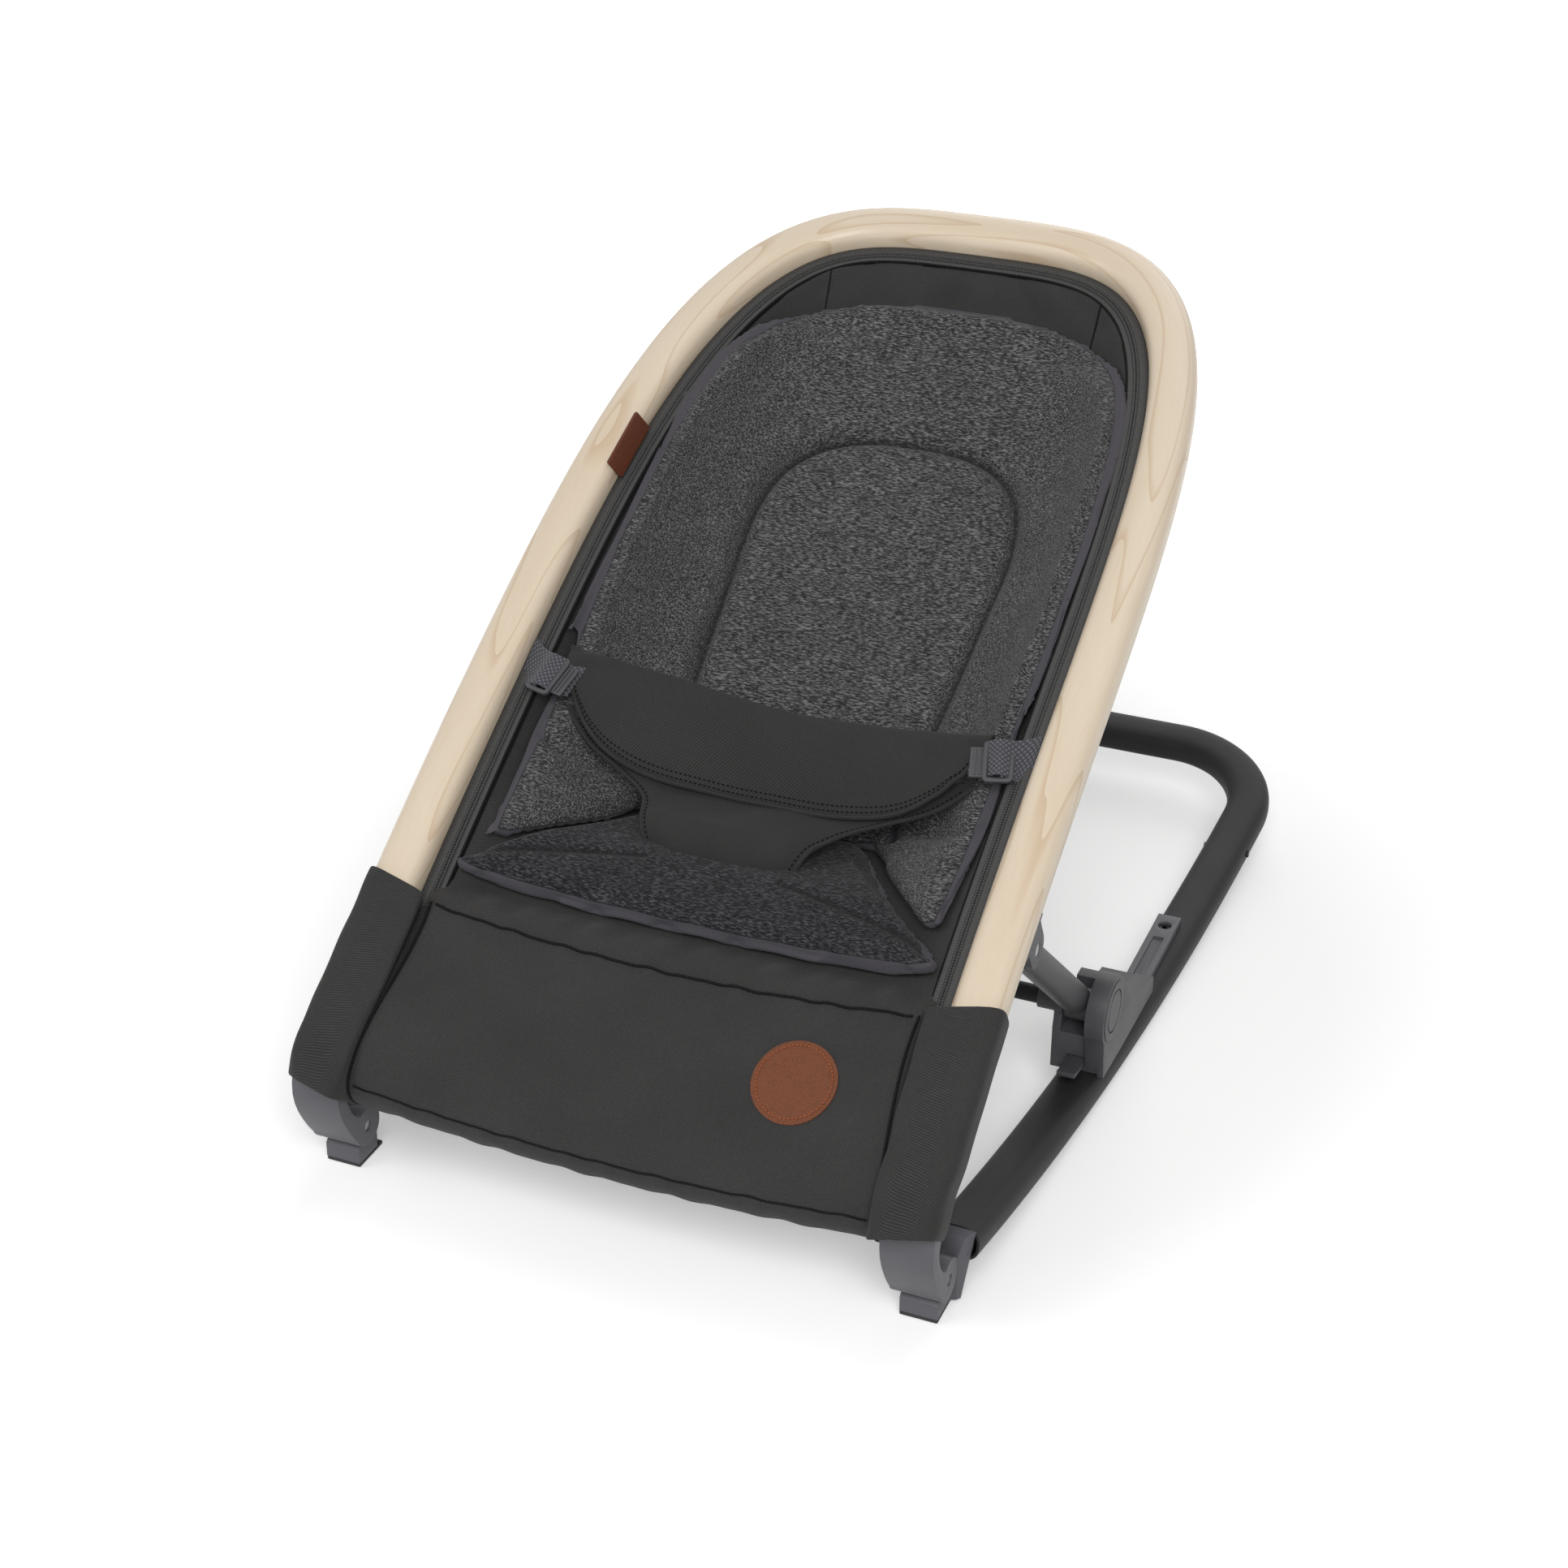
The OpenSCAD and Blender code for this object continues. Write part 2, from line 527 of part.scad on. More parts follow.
// ---------------------------------------------------------------- sliders
function sole_z(y) = rocker_cz - sqrt(pow(tube_top - track_gap, 2) - pow(y - rocker_y, 2));
function sole_line(y0, y1, n) = [for (i = [0:n]) let(y = y0 + (y1 - y0) * i / n) [y, sole_z(y)]];
cheek_x0 = strut_low_x + eye_w / 2 + 0.5;
cheek_x1 = cheek_x0 + cheek_t;
inner_x1 = strut_low_x - eye_w / 2 - 0.5;
inner_x0 = inner_x1 - inner_cheek_t;
box_top = hub_z - 14;
trunnion_r = 2.5;
lever_y = hub_y - 7.6;
lever_z = sole_z(lever_y) + track_h + 0.8 + trunnion_r;
module hub_cheek() {
    translate([hub_y, hub_z]) circle(r = cheek_r);
    polygon(concat([[hub_y - 18, hub_z - 10], [hub_y + 17, hub_z + 14], [hub_y + 45, hub_z - 17],
        [hub_y + saddle_len, sole_z(hub_y + saddle_len) + saddle_h]],
        sole_line(hub_y + saddle_len, hub_y - 14, 8)));
}
module hub_saddle() polygon(concat([[hub_y - box_front, box_top], [hub_y + 20, box_top],
    [hub_y + 45, hub_z - 24], [hub_y + saddle_len, sole_z(hub_y + saddle_len) + saddle_h - 1]],
    sole_line(hub_y + saddle_len, hub_y - box_front, 8)));
module hub(side) color(hub_colour) handed(side) difference() {
    union() {
        slab(cheek_x0, cheek_x1) hub_cheek();
        slab(inner_x0, cheek_x0 + 1) hub_saddle();
        slab(inner_x0, inner_x1) {
            translate([hub_y, hub_z]) circle(r = collar_r + 3.7);
            polygon([[hub_y - box_front, box_top - 1], [hub_y - box_front, box_top + 2],
                [hub_y - 9, hub_z + 3], [hub_y + 11, hub_z + 3], [hub_y + 20, box_top - 1]]);
        }
        slab(inner_x1 + 1, cheek_x0 + 1) translate([hub_y + eye_r + 3, box_top - 1]) square([9, 26]);
    }
    // cross bar, cap, track, lock pin with its spring, and lever
    rod(bar_r, inner_x0 - 1, cheek_x1 - 4, hub_y, hub_z);
    rod(cap_r + fit, cheek_x1 - cap_t + 0.6, cheek_x1 + 5, hub_y, hub_z);
    on_rocker(track_r0 - track_gap, tube_top + 10, track_x - track_w / 2 - track_gap,
        track_x + track_w / 2 + track_gap, hub_y - 60, hub_y + saddle_len + 30);
    translate([lock_x, lock_y, 0]) cylinder(r = lock_r + fit, h = box_top + 1);
    translate([lock_x, lock_y, spring_z0]) cylinder(r = lock_r + 2, h = 40);
    rod(trunnion_r + fit, inner_x0 - 1, cheek_x0 + 0.2, lever_y, lever_z);
    slab(lever_x - lever_w / 2 - 0.4, lever_x + lever_w / 2 + 0.4) polygon([
        [lever_y + 3, lever_z - 20], [lever_y + 3, lever_z + 3], [lever_y - 2.5, lever_z + 3],
        [hub_y - box_front - 0.5, lever_z + 2.8], [hub_y - 40, lever_z + 2.8],
        [hub_y - 40, lever_z - 20]]);
}
lock_x = track_x - 2;
lever_x = cheek_x0 - 0.8 - lever_w / 2;
spring_z0 = sole_z(lock_y) + track_h + track_gap + 7.5;
module hub_caps() color(elbow_colour) both() difference() {
    rod(cap_r, cheek_x1 - cap_t + 0.6, cheek_x1 + 0.6, hub_y, hub_z);
    difference() {
        rod(cap_r - 5, cheek_x1 - 0.1, cheek_x1 + 2, hub_y, hub_z);
        rod(cap_r - 6.4, cheek_x1 - 1, cheek_x1 + 3, hub_y, hub_z);
    }
}
module cross_bar() color(tube_colour) rod(bar_r, -cheek_x1 + 4.5, cheek_x1 - 4.5, hub_y, hub_z);
module bar_collars() color(hub_colour) both() difference() {
    rod(collar_r, inner_x0 - collar_len, inner_x0, hub_y, hub_z);
    rod(bar_r, inner_x0 - collar_len - 1, inner_x0 + 1, hub_y, hub_z);
}
module lock_pins() color(steel_colour) both() translate([lock_x, lock_y, 0]) {
    translate([0, 0, sole_z(lock_y) + track_h + track_gap])
        cylinder(r = lock_r, h = spring_z0 + 10 - sole_z(lock_y) - track_h - track_gap);
}
spring_turns = 4;
spring_steps = 10;
spring_path = [for (i = [0:spring_turns * spring_steps]) let(a = 360 * i / spring_steps)
    [(lock_r + 1) * cos(a), (lock_r + 1) * sin(a), 0.7 + 7 * i / (spring_turns * spring_steps)]];
module lock_springs() color(steel_colour) both() translate([lock_x, lock_y, spring_z0])
    swept(spring_path, [for (p = spring_path) [0, 0, 1]], oval(0.8, 0.8, 2, 6));
module release_lever(side) color(hub_colour) handed(side) {
    rod(trunnion_r, inner_x0 + 0.4, cheek_x0 - 0.4, lever_y, lever_z);
    slab(lever_x - lever_w / 2, lever_x + lever_w / 2) polygon(concat(
        curve([lever_y, lever_z + 2.2], [lever_y - 5, lever_z + 0.6], [lever_y - lever_len + 9, lever_z + 1.6],
            [lever_y - lever_len, lever_z + 3.8], 6),
        curve([lever_y - lever_len, lever_z + 3.8 - lever_t], [lever_y - lever_len + 9, lever_z + 1.6 - lever_t],
            [lever_y - 5, lever_z + 0.6 - lever_t], [lever_y, lever_z - 2.3], 6)));
}

// ---------------------------------------------------------------- fabric
// Level of the sling's upper face on the centre line, below or above the arch's plane
sling_level = [[sling_front, 8], [135, -6], [177, -19], [214, -44], [240, -58], [322, -62],
    [433, -58], [533, -48], [600, -33], [655, -5]];
band_in = arch_w / 2 + zip_w + 0.3;
function edge_level(s) = frame_rise + bow(s) - 4;
function sling_n(x, s) = let(w = half_width(band_in, s), u = min(1, abs(x) / max(w, 1)),
    deep = frame_rise + bow(s) * 0.4 + lookup(s, sling_level))
    deep + (edge_level(s) - deep) * pow(u, 5);
function spread(a, b, n) = [for (i = [0:n]) a + (b - a) * i / n];

// Half width of the padded liner at s, and the lines it shares with the sling
back_start = 470;
function pad_w(s) = s <= back_start ? pad_half
    : s > pad_top ? half_width(band_in, s) / 3
    : pad_half * pow(1 - pow((s - back_start) / (pad_top - back_start + 1), 2.6), 1 / 2.6) + 0.5;
pad_cols = spread(-1, 1, 10);
seat_rows = spread(pad_front, pad_fold - 0.25, 5);
lumbar_rows = spread(pad_fold + 0.25, sling_split - 0.25, 5);
back_rows = spread(sling_split + 0.25, pad_top, 11);
function sheet_points(rows, xs, lift) = [for (s = rows) for (x = xs(s)) [x, s, sling_n(x, s) + lift(x, s)]];

module cloth(rows) {
    xs = function(s) let(w = half_width(band_in + soft_gap, s), p = min(pad_w(s), w - 3)) concat(
        [-w, -(w + p) / 2], [for (u = pad_cols) u * p], [(w + p) / 2, w]);
    shell(sheet_points(rows, xs, function(x, s) 0), sheet_points(rows, xs, function(x, s) -cloth_t),
        len(rows), len(pad_cols) + 4);
}
module sling_seat() color(cloth_colour) on_seat()
    cloth(concat([sling_front, (sling_front + pad_front) / 2], seat_rows, lumbar_rows));
module sling_back() color(cloth_colour) on_seat()
    cloth(concat(back_rows, [arch_len - band_in - 6]));

sleeve_start = 15;
sleeve_end = 127;
band_plan = arch_outline(arch_w / 2 + zip_w / 2 + 0.15, sleeve_end + 0.4, 5, 40);
module zip_band() color("#2c2c2d") on_seat() swept([for (p = band_plan) on_arch(p, -4)],
    [for (p = band_plan) [0, -bow_slope(p[1]), 1]],
    [[zip_w / 2, cloth_t / 2], [-zip_w / 2, cloth_t / 2],
        [-zip_w / 2, -cloth_t / 2], [zip_w / 2, -cloth_t / 2]]);

// A padded piece lies on the sling: full in its middle, thin at its edges
module padded(rows) {
    xs = function(s) [for (u = pad_cols) u * min(pad_w(s), half_width(band_in + soft_gap, s) - 3)];
    s0 = rows[0];
    s1 = rows[len(rows) - 1];
    crown = function(x, s) let(u = abs(x) / pad_w(s), v = min(1, min(s - s0, s1 - s) / 18))
        pad_t * (0.35 + 0.65 * (1 - pow(min(1, u), 6)) * (1 - pow(1 - v, 3)));
    shell(sheet_points(rows, xs, function(x, s) crown(x, s) + soft_gap),
        sheet_points(rows, xs, function(x, s) soft_gap), len(rows), len(pad_cols));
}
module pad_back() color(pad_colour) on_seat() padded(back_rows);
module pad_lumbar() color(pad_colour) on_seat() padded(lumbar_rows);
module pad_seat() color(pad_colour) on_seat() padded(seat_rows);

panel_top = frame_rise + bow(sling_front) + 6;
panel_outer = concat(
    curve([sling_front - 1.4, panel_top], [70, panel_top - 1], [40, panel_top - 5], [16, frame_rise + 4], 6),
    curve([16, frame_rise + 4], [4, frame_rise], [-4, frame_rise - 5], [-2, frame_rise - 14], 4),
    [[5, 20]]);
module front_panel() color(cloth_colour) on_seat() slab(-panel_half, panel_half) {
    inner = [for (i = [len(panel_outer) - 1:-1:0]) panel_outer[i]
        + (i == len(panel_outer) - 1 ? [cloth_t, 1] : i > 8 ? [cloth_t, 0] : [cloth_t * 0.3, -cloth_t])];
    polygon(concat(panel_outer, inner));
}
// The row's origin is under the middle of the whole
front_reach = min([for (p = concat(elbow_front, panel_outer)) seat_to_floor(p[0], p[1])[0]]);
middle_y = (base_len + tube_w / 2 + front_reach) / 2;
module sleeve(side) color(cloth_colour) on_seat() handed(side) at_arm_end()
    translate([0, sleeve_start - wood_start, 0]) rotate([-90, 0, 0])
    linear_extrude(sleeve_end - sleeve_start) scale([1, -1]) difference() {
        polygon([[-arch_w / 2 - cloth_t - 9, 11], [-arch_w / 2 - 2, 15], [arch_w / 2 - 2, 15],
            [arch_w / 2 + cloth_t - 0.5, 11.5], [arch_w / 2 + cloth_t - 0.5, -11.5], [arch_w / 2 - 2, -16],
            [-arch_w / 2 + 2, -16], [-arch_w / 2 - cloth_t, -11.5], [-arch_w / 2 - cloth_t, 4],
            [-arch_w / 2 - cloth_t - 9, 8]]);
        square([arch_w + 0.8, 22.4], center = true);
        square([arch_w - 3, 25.4], center = true);
    }

flap_s = 291;
flap_n = frame_rise + 8;
module waist_flap() color(cloth_colour) on_seat() {
    rows = spread(flap_s - flap_len, flap_s, 2);
    lift = function(x, s) flap_n + (s - flap_s) * 0.2 + 12 * pow(x / flap_half, 2);
    top = [for (s = rows) for (x = spread(-flap_half, flap_half, 10)) [x, s, lift(x, s) + cloth_t]];
    low = [for (s = rows) for (x = spread(-flap_half, flap_half, 10)) [x, s, lift(x, s)]];
    shell(top, low, 3, 11);
}
crotch_s = pad_front + 42;
module crotch_flap() color(cloth_colour) on_seat() {
    rows = spread(crotch_s, flap_s - flap_len - 0.5, 4);
    w = function(s) crotch_half + 45 * pow((s - crotch_s) / (flap_s - flap_len - crotch_s), 3);
    n0 = sling_n(0, crotch_s) + soft_gap + pad_t + soft_gap;
    n1 = flap_n - flap_len * 0.2;
    lift = function(s) n0 + (n1 - n0) * (s - crotch_s) / (flap_s - flap_len - crotch_s);
    top = [for (s = rows) for (u = spread(-1, 1, 4)) [u * w(s), s, lift(s) + cloth_t]];
    low = [for (s = rows) for (u = spread(-1, 1, 4)) [u * w(s), s, lift(s)]];
    shell(top, low, 5, 5);
}
buckle_x = flap_half + 11.3;
buckle_s = flap_s - 13;
// The buckle's own frame: on the zip band's upper face, level with it
module at_buckle() translate([buckle_x, buckle_s, edge_level(buckle_s) + cloth_t / 2])
    rotate([atan(bow_slope(buckle_s)), 0, 0]) children();
module strap_adjuster(side) color(hub_colour) on_seat() handed(side) at_buckle() difference() {
    translate([-11, -13, 1.9]) cube([22, 26, 4.4]);
    for (x = [-8, 3]) translate([x, -web_w / 2 - 0.3, 0]) cube([3, web_w + 0.6, 8]);
}
module side_strap(side) color("#4c4c50") on_seat() handed(side) at_buckle()
    translate([2, -web_w / 2, 0.3]) cube([arch_half_w - arch_w / 2 - 3 - buckle_x, web_w, 1.3]);
badge_at = [93, 61];
function panel_n(s) = lookup(s, [for (i = [0:6]) panel_outer[i]]);
badge_tilt = atan((panel_n(badge_at[1] + badge_r) - panel_n(badge_at[1] - badge_r)) / (2 * badge_r));
module leather_badge() color(leather_colour) on_seat()
    translate([badge_at[0], badge_at[1], panel_n(badge_at[1]) + soft_gap]) rotate([badge_tilt, 0, 0])
    cylinder(r = badge_r, h = 1.6);
tag_s = 440;
module leather_tag() color("#55281a") on_seat()
    translate([-half_width(arch_w / 2, tag_s) + 0.5, tag_s - 22, frame_rise + bow(tag_s) - 1.6])
    rotate([0, 0, -3]) cube([9, 44, 3]);

placed() base_tube();
placed() front_foot(-1);  // front_foot_left
placed() front_foot(1);  // front_foot_right
placed() foot_sole(-1);  // foot_sole_left
placed() foot_sole(1);  // foot_sole_right
placed() hinge_pins();
placed() track(-1);  // track_left
placed() track(1);  // track_right
placed() track_screws();
placed() stand_pins();
placed() wood_arch();
placed() arm_tube(-1);  // arm_tube_left
placed() arm_tube(1);  // arm_tube_right
placed() elbow(-1);  // elbow_left
placed() elbow(1);  // elbow_right
placed() strut_bracket(-1);  // strut_bracket_left
placed() strut_bracket(1);  // strut_bracket_right
placed() bracket_screws();
placed() strut_pins();
placed() zip_band();
placed() sling_seat();
placed() sling_back();
placed() front_panel();
placed() sleeve(-1);  // sleeve_left
placed() sleeve(1);  // sleeve_right
placed() pad_seat();
placed() pad_lumbar();
placed() pad_back();
placed() waist_flap();
placed() crotch_flap();
placed() side_strap(-1);  // side_strap_left
placed() side_strap(1);  // side_strap_right
placed() strap_adjuster(-1);  // strap_adjuster_left
placed() strap_adjuster(1);  // strap_adjuster_right
placed() leather_badge();
placed() leather_tag();
placed() strut(-1);  // strut_left
placed() strut(1);  // strut_right
placed() strut_foot(-1);  // strut_foot_left
placed() strut_foot(1);  // strut_foot_right
placed() strut_head(-1);  // strut_head_left
placed() strut_head(1);  // strut_head_right
placed() hub(-1);  // hub_left
placed() hub(1);  // hub_right
placed() hub_caps();
placed() cross_bar();
placed() bar_collars();
placed() lock_pins();
placed() lock_springs();
placed() release_lever(-1);  // release_lever_left
placed() release_lever(1);  // release_lever_right
placed() rear_stand(-1);  // rear_stand_left
placed() rear_stand(1);  // rear_stand_right
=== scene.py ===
"""A folding infant bouncer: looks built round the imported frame.

Lengths are millimetres in each piece's own plane and become metres as a piece is finished.
Seat pieces are drawn in the seat's plane: x across, s up the seat from the hinge, n square to it.
"""

import json
from math import atan, cos, hypot, pi, radians, sin, sqrt, tan

import bmesh
import bpy
from mathutils import Matrix, Vector


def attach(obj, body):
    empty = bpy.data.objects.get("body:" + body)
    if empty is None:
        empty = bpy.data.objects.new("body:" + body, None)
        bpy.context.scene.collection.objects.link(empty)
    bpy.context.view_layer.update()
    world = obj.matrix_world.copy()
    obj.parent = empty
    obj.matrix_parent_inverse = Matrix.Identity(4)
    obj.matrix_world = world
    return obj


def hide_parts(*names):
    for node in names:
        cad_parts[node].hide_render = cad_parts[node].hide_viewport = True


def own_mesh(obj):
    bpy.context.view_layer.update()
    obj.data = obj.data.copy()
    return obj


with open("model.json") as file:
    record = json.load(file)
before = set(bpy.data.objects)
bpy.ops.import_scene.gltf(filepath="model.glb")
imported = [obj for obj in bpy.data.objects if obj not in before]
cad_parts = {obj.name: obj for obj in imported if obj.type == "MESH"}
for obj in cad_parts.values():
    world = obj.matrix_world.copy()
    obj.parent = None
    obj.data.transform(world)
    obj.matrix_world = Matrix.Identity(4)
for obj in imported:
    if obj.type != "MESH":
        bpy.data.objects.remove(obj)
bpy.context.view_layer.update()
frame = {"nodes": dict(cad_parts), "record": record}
nodes = frame["nodes"]
joints = frame["record"]["behaviour"]["joints"]
hinge = Vector(next(j for j in joints if j["name"] == "seat_recline")["pos_m"])

MM = 0.001
SMOOTH = 180  # the angle at which no edge is drawn sharp
SIDES = ((-1, "left"), (1, "right"))
SEAT_ANGLE = 29
HINGE_BACK = 0.018  # how far the hinge lies behind the front of the base, in metres
SEAT = Matrix.Translation(hinge) @ Matrix.Rotation(radians(SEAT_ANGLE), 4, "X") @ Matrix.Scale(MM, 4)
FLOOR = Matrix.Translation((0, hinge.y - HINGE_BACK, 0)) @ Matrix.Scale(MM, 4)


# ---- materials
RIB_SCALE = 0.314  # a wave texture's scale for ribs one millimetre wide


def colour(code):
    """An sRGB hex value as linear RGBA."""
    parts = [int(code[i : i + 2], 16) / 255 for i in (1, 3, 5)]
    return [c / 12.92 if c <= 0.04045 else ((c + 0.055) / 1.055) ** 2.4 for c in parts] + [1]


def new_material(name, base, **constants):
    """A named material: its base colour and the shader's constant sockets."""
    mat = bpy.data.materials.new(name)
    mat.use_nodes = True
    shader = mat.node_tree.nodes["Principled BSDF"]
    shader.inputs["Base Color"].default_value = colour(base)
    for socket, value in constants.items():
        shader.inputs[socket.replace("_", " ").title().replace("Ior", "IOR")].default_value = value
    return mat, shader


def add(mat, kind, inputs=None, **settings):
    """Adds one shader node. An input is a constant or another node's output socket."""
    item = mat.node_tree.nodes.new("ShaderNode" + kind)
    for name, value in settings.items():
        setattr(item, name, value)
    for key, value in (inputs or {}).items():
        if isinstance(value, bpy.types.NodeSocket):
            mat.node_tree.links.new(value, item.inputs[key])
        else:
            item.inputs[key].default_value = value
    return item


def join(mat, output, shader, socket):
    mat.node_tree.links.new(output, shader.inputs[socket])


def object_coordinates(mat):
    return add(mat, "TexCoord").outputs["Object"]


def seat_coordinates(mat):
    """Object coordinates turned level with the seat, in millimetres."""
    settings = {
        "Vector": object_coordinates(mat),
        "Rotation": (-radians(SEAT_ANGLE), 0, 0),
        "Scale": (1 / MM, 1 / MM, 1 / MM),
    }
    return add(mat, "Mapping", settings).outputs["Vector"]


def lay_coordinates(mat):
    """The piece's own millimetres along and across its cloth or grain."""
    return add(mat, "Attribute", attribute_name="lay").outputs["Vector"]


def slanted(mat, where, degrees):
    return add(mat, "Mapping", {"Vector": where, "Rotation": (0, 0, radians(degrees))}).outputs[0]


def stretched(mat, where, by):
    return add(mat, "VectorMath", {0: where, 1: by}, operation="MULTIPLY").outputs[0]


def noise(mat, where, scale, detail, roughness=0.5):
    settings = {"Vector": where, "Scale": scale, "Detail": detail, "Roughness": roughness}
    return add(mat, "TexNoise", settings).outputs["Fac"]


def reckon(mat, operation, first, second=0.0):
    return add(mat, "Math", {0: first, 1: second}, operation=operation).outputs[0]


def spread(mat, value, low, high, to_low=0.0, to_high=1.0):
    """Carries one range of a value over to another, held level past its ends."""
    ends = {"Value": value, 1: low, 2: high, 3: to_low, 4: to_high}
    return add(mat, "MapRange", ends, clamp=True).outputs[0]


def mix(mat, share, first, second):
    """Fades the first colour into the second. Each is a hex value or a socket."""
    first, second = (colour(c) if isinstance(c, str) else c for c in (first, second))
    return add(mat, "Mix", {0: share, 6: first, 7: second}, data_type="RGBA").outputs[2]


def clouded(mat, cloth, where, scale, detail=2, roughness=0.5):
    """Lets a colour drift a tenth lighter and darker over the piece."""
    amount = spread(mat, noise(mat, where, scale, detail, roughness), 0.3, 0.7, 0.9, 1.1)
    return add(mat, "VectorMath", {0: cloth, "Scale": amount}, operation="SCALE").outputs[0]


def emboss(mat, shader, height, strength, distance):
    """Raises the surface with a height, distance metres at full strength."""
    relief = add(mat, "Bump", {"Height": height, "Strength": strength, "Distance": distance})
    join(mat, relief.outputs[0], shader, "Normal")


def maple():
    """Laminated maple, steam-bent and clear-lacquered: pale, thin tan growth lines, a satin shine."""
    mat, shader = new_material(
        "maple_lacquered", "#e2d1b7", roughness=0.4, coat_weight=0.25, coat_roughness=0.22
    )
    lay = lay_coordinates(mat)
    long_way = stretched(mat, lay, (1, 1, 0.11))
    fibre = noise(mat, stretched(mat, lay, (1, 1, 0.03)), 1.5, 4, 0.65)
    # growth rings cut at a slant: level lines of a slow swell
    swell = noise(mat, long_way, 0.03, 1.2, 0.4)
    ring = reckon(mat, "FRACT", reckon(mat, "MULTIPLY", swell, 8.0))
    base = mix(mat, noise(mat, long_way, 0.05, 2), "#eaddc8", "#decab0")
    lined = mix(mat, spread(mat, ring, 0.8, 1.0, 0.0, 0.62), base, "#c8a985")
    grained = mix(mat, spread(mat, fibre, 0.35, 0.7, 0.0, 0.22), lined, "#cfb592")
    join(mat, grained, shader, "Base Color")
    join(mat, spread(mat, fibre, 0.0, 1.0, 0.34, 0.5), shader, "Roughness")
    emboss(mat, shader, fibre, 0.1, 0.0003)
    return mat


def moulded(name, base, paler, grit, roughness, depth, gloss=0.4):
    """A coat or moulding with a fine even grit, its sharp outer edges a little paler as a painted highlight."""
    mat, shader = new_material(name, base, roughness=roughness, specular_ior_level=gloss)
    where = object_coordinates(mat)
    grains = noise(mat, where, 1000 / grit, 2, 0.6)
    patches = noise(mat, where, 28, 3, 0.6)
    edges = add(mat, "NewGeometry").outputs["Pointiness"]
    speckle = spread(mat, grains, 0.3, 0.7, 0.0, 0.3)
    speckled = mix(mat, speckle, mix(mat, patches, base, paler), paler)
    # sharp outer edges drawn paler: a painted edge highlight
    edges_painted_light = mix(mat, spread(mat, edges, 0.51, 0.6, 0.0, 0.45), speckled, paler)
    join(mat, edges_painted_light, shader, "Base Color")
    shine = spread(mat, patches, 0.0, 1.0, roughness - 0.07, roughness + 0.08)
    join(mat, shine, shader, "Roughness")
    emboss(mat, shader, grains, depth, 0.0004)
    return mat


def drawn_metal(name, base, roughness):
    """Bare or blackened steel: fine tool marks and a few dull patches."""
    mat, shader = new_material(name, base, metallic=1.0, roughness=roughness)
    tool = noise(mat, object_coordinates(mat), 1000 / 0.7, 3)
    join(mat, spread(mat, tool, 0.0, 1.0, roughness - 0.1, roughness + 0.14), shader, "Roughness")
    emboss(mat, shader, tool, 0.12, 0.0002)
    return mat


tube_coat = moulded("powder_coat_charcoal", "#232325", "#2f2f31", 0.9, 0.5, 0.22, gloss=0.16)
# the struts' powder coat, drawn lighter than the base tube's: painted light that the struts catch
strut_coat_painted_light = moulded("powder_coat_painted_light", "#3c3c3e", "#4c4c4e", 0.9, 0.48, 0.22)
hub_nylon = moulded("nylon_moulded_charcoal", "#3b3b3e", "#4e4e51", 0.8, 0.52, 0.3)
elbow_nylon = moulded("nylon_moulded_grey", "#4c4c51", "#5f5f64", 0.8, 0.5, 0.26)
sole_rubber = moulded("rubber_sole", "#29292b", "#3a3a3c", 1.1, 0.82, 0.4)
pin_steel = drawn_metal("steel_turned", "#a3a3a6", 0.34)
screw_black = drawn_metal("steel_blackened", "#2c2c2e", 0.42)
wood = maple()


# ---- making pieces
def new_object(name, data):
    item = bpy.data.objects.new(name, data)
    bpy.context.scene.collection.objects.link(item)
    return item


def mesh_object(name, bm):
    mesh = bpy.data.meshes.new(name)
    bm.to_mesh(mesh)
    bm.free()
    return new_object(name, mesh)


def finish_piece(name, bm, body, slot, material, place=SEAT, sharp=35, stands_for=()):
    """Puts a finished bmesh into metres and hangs it on its body."""
    bm.transform(place)
    piece = mesh_object(name, bm)
    piece.data.shade_smooth()
    if sharp < SMOOTH:
        piece.data.set_sharp_from_angle(angle=radians(sharp))
    piece.data.materials.append(material)
    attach(piece, body)
    if stands_for:
        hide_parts(*stands_for)
    return piece


def face_out(bm):
    bmesh.ops.recalc_face_normals(bm, faces=bm.faces)


def weld(bm, distance=1e-5):
    """Joins the points that coincide and turns all faces outwards."""
    bmesh.ops.remove_doubles(bm, verts=bm.verts, dist=distance)
    face_out(bm)


def lay_layer(bm):
    return bm.verts.layers.float_vector.get("lay") or bm.verts.layers.float_vector.new("lay")


def along_path(points, ups):
    """A frame at each point of a path: across, up and forward, with the length so far."""
    frames = []
    length = 0.0
    for i, point in enumerate(points):
        ahead = points[min(i + 1, len(points) - 1)] - points[max(i - 1, 0)]
        forward = ahead.normalized()
        across = forward.cross(ups[i]).normalized()
        up = across.cross(forward)
        turn = Matrix((across, up, forward)).transposed().to_4x4()
        if i:
            length += (point - points[i - 1]).length
        frames.append((Matrix.Translation(point) @ turn, length))
    return frames


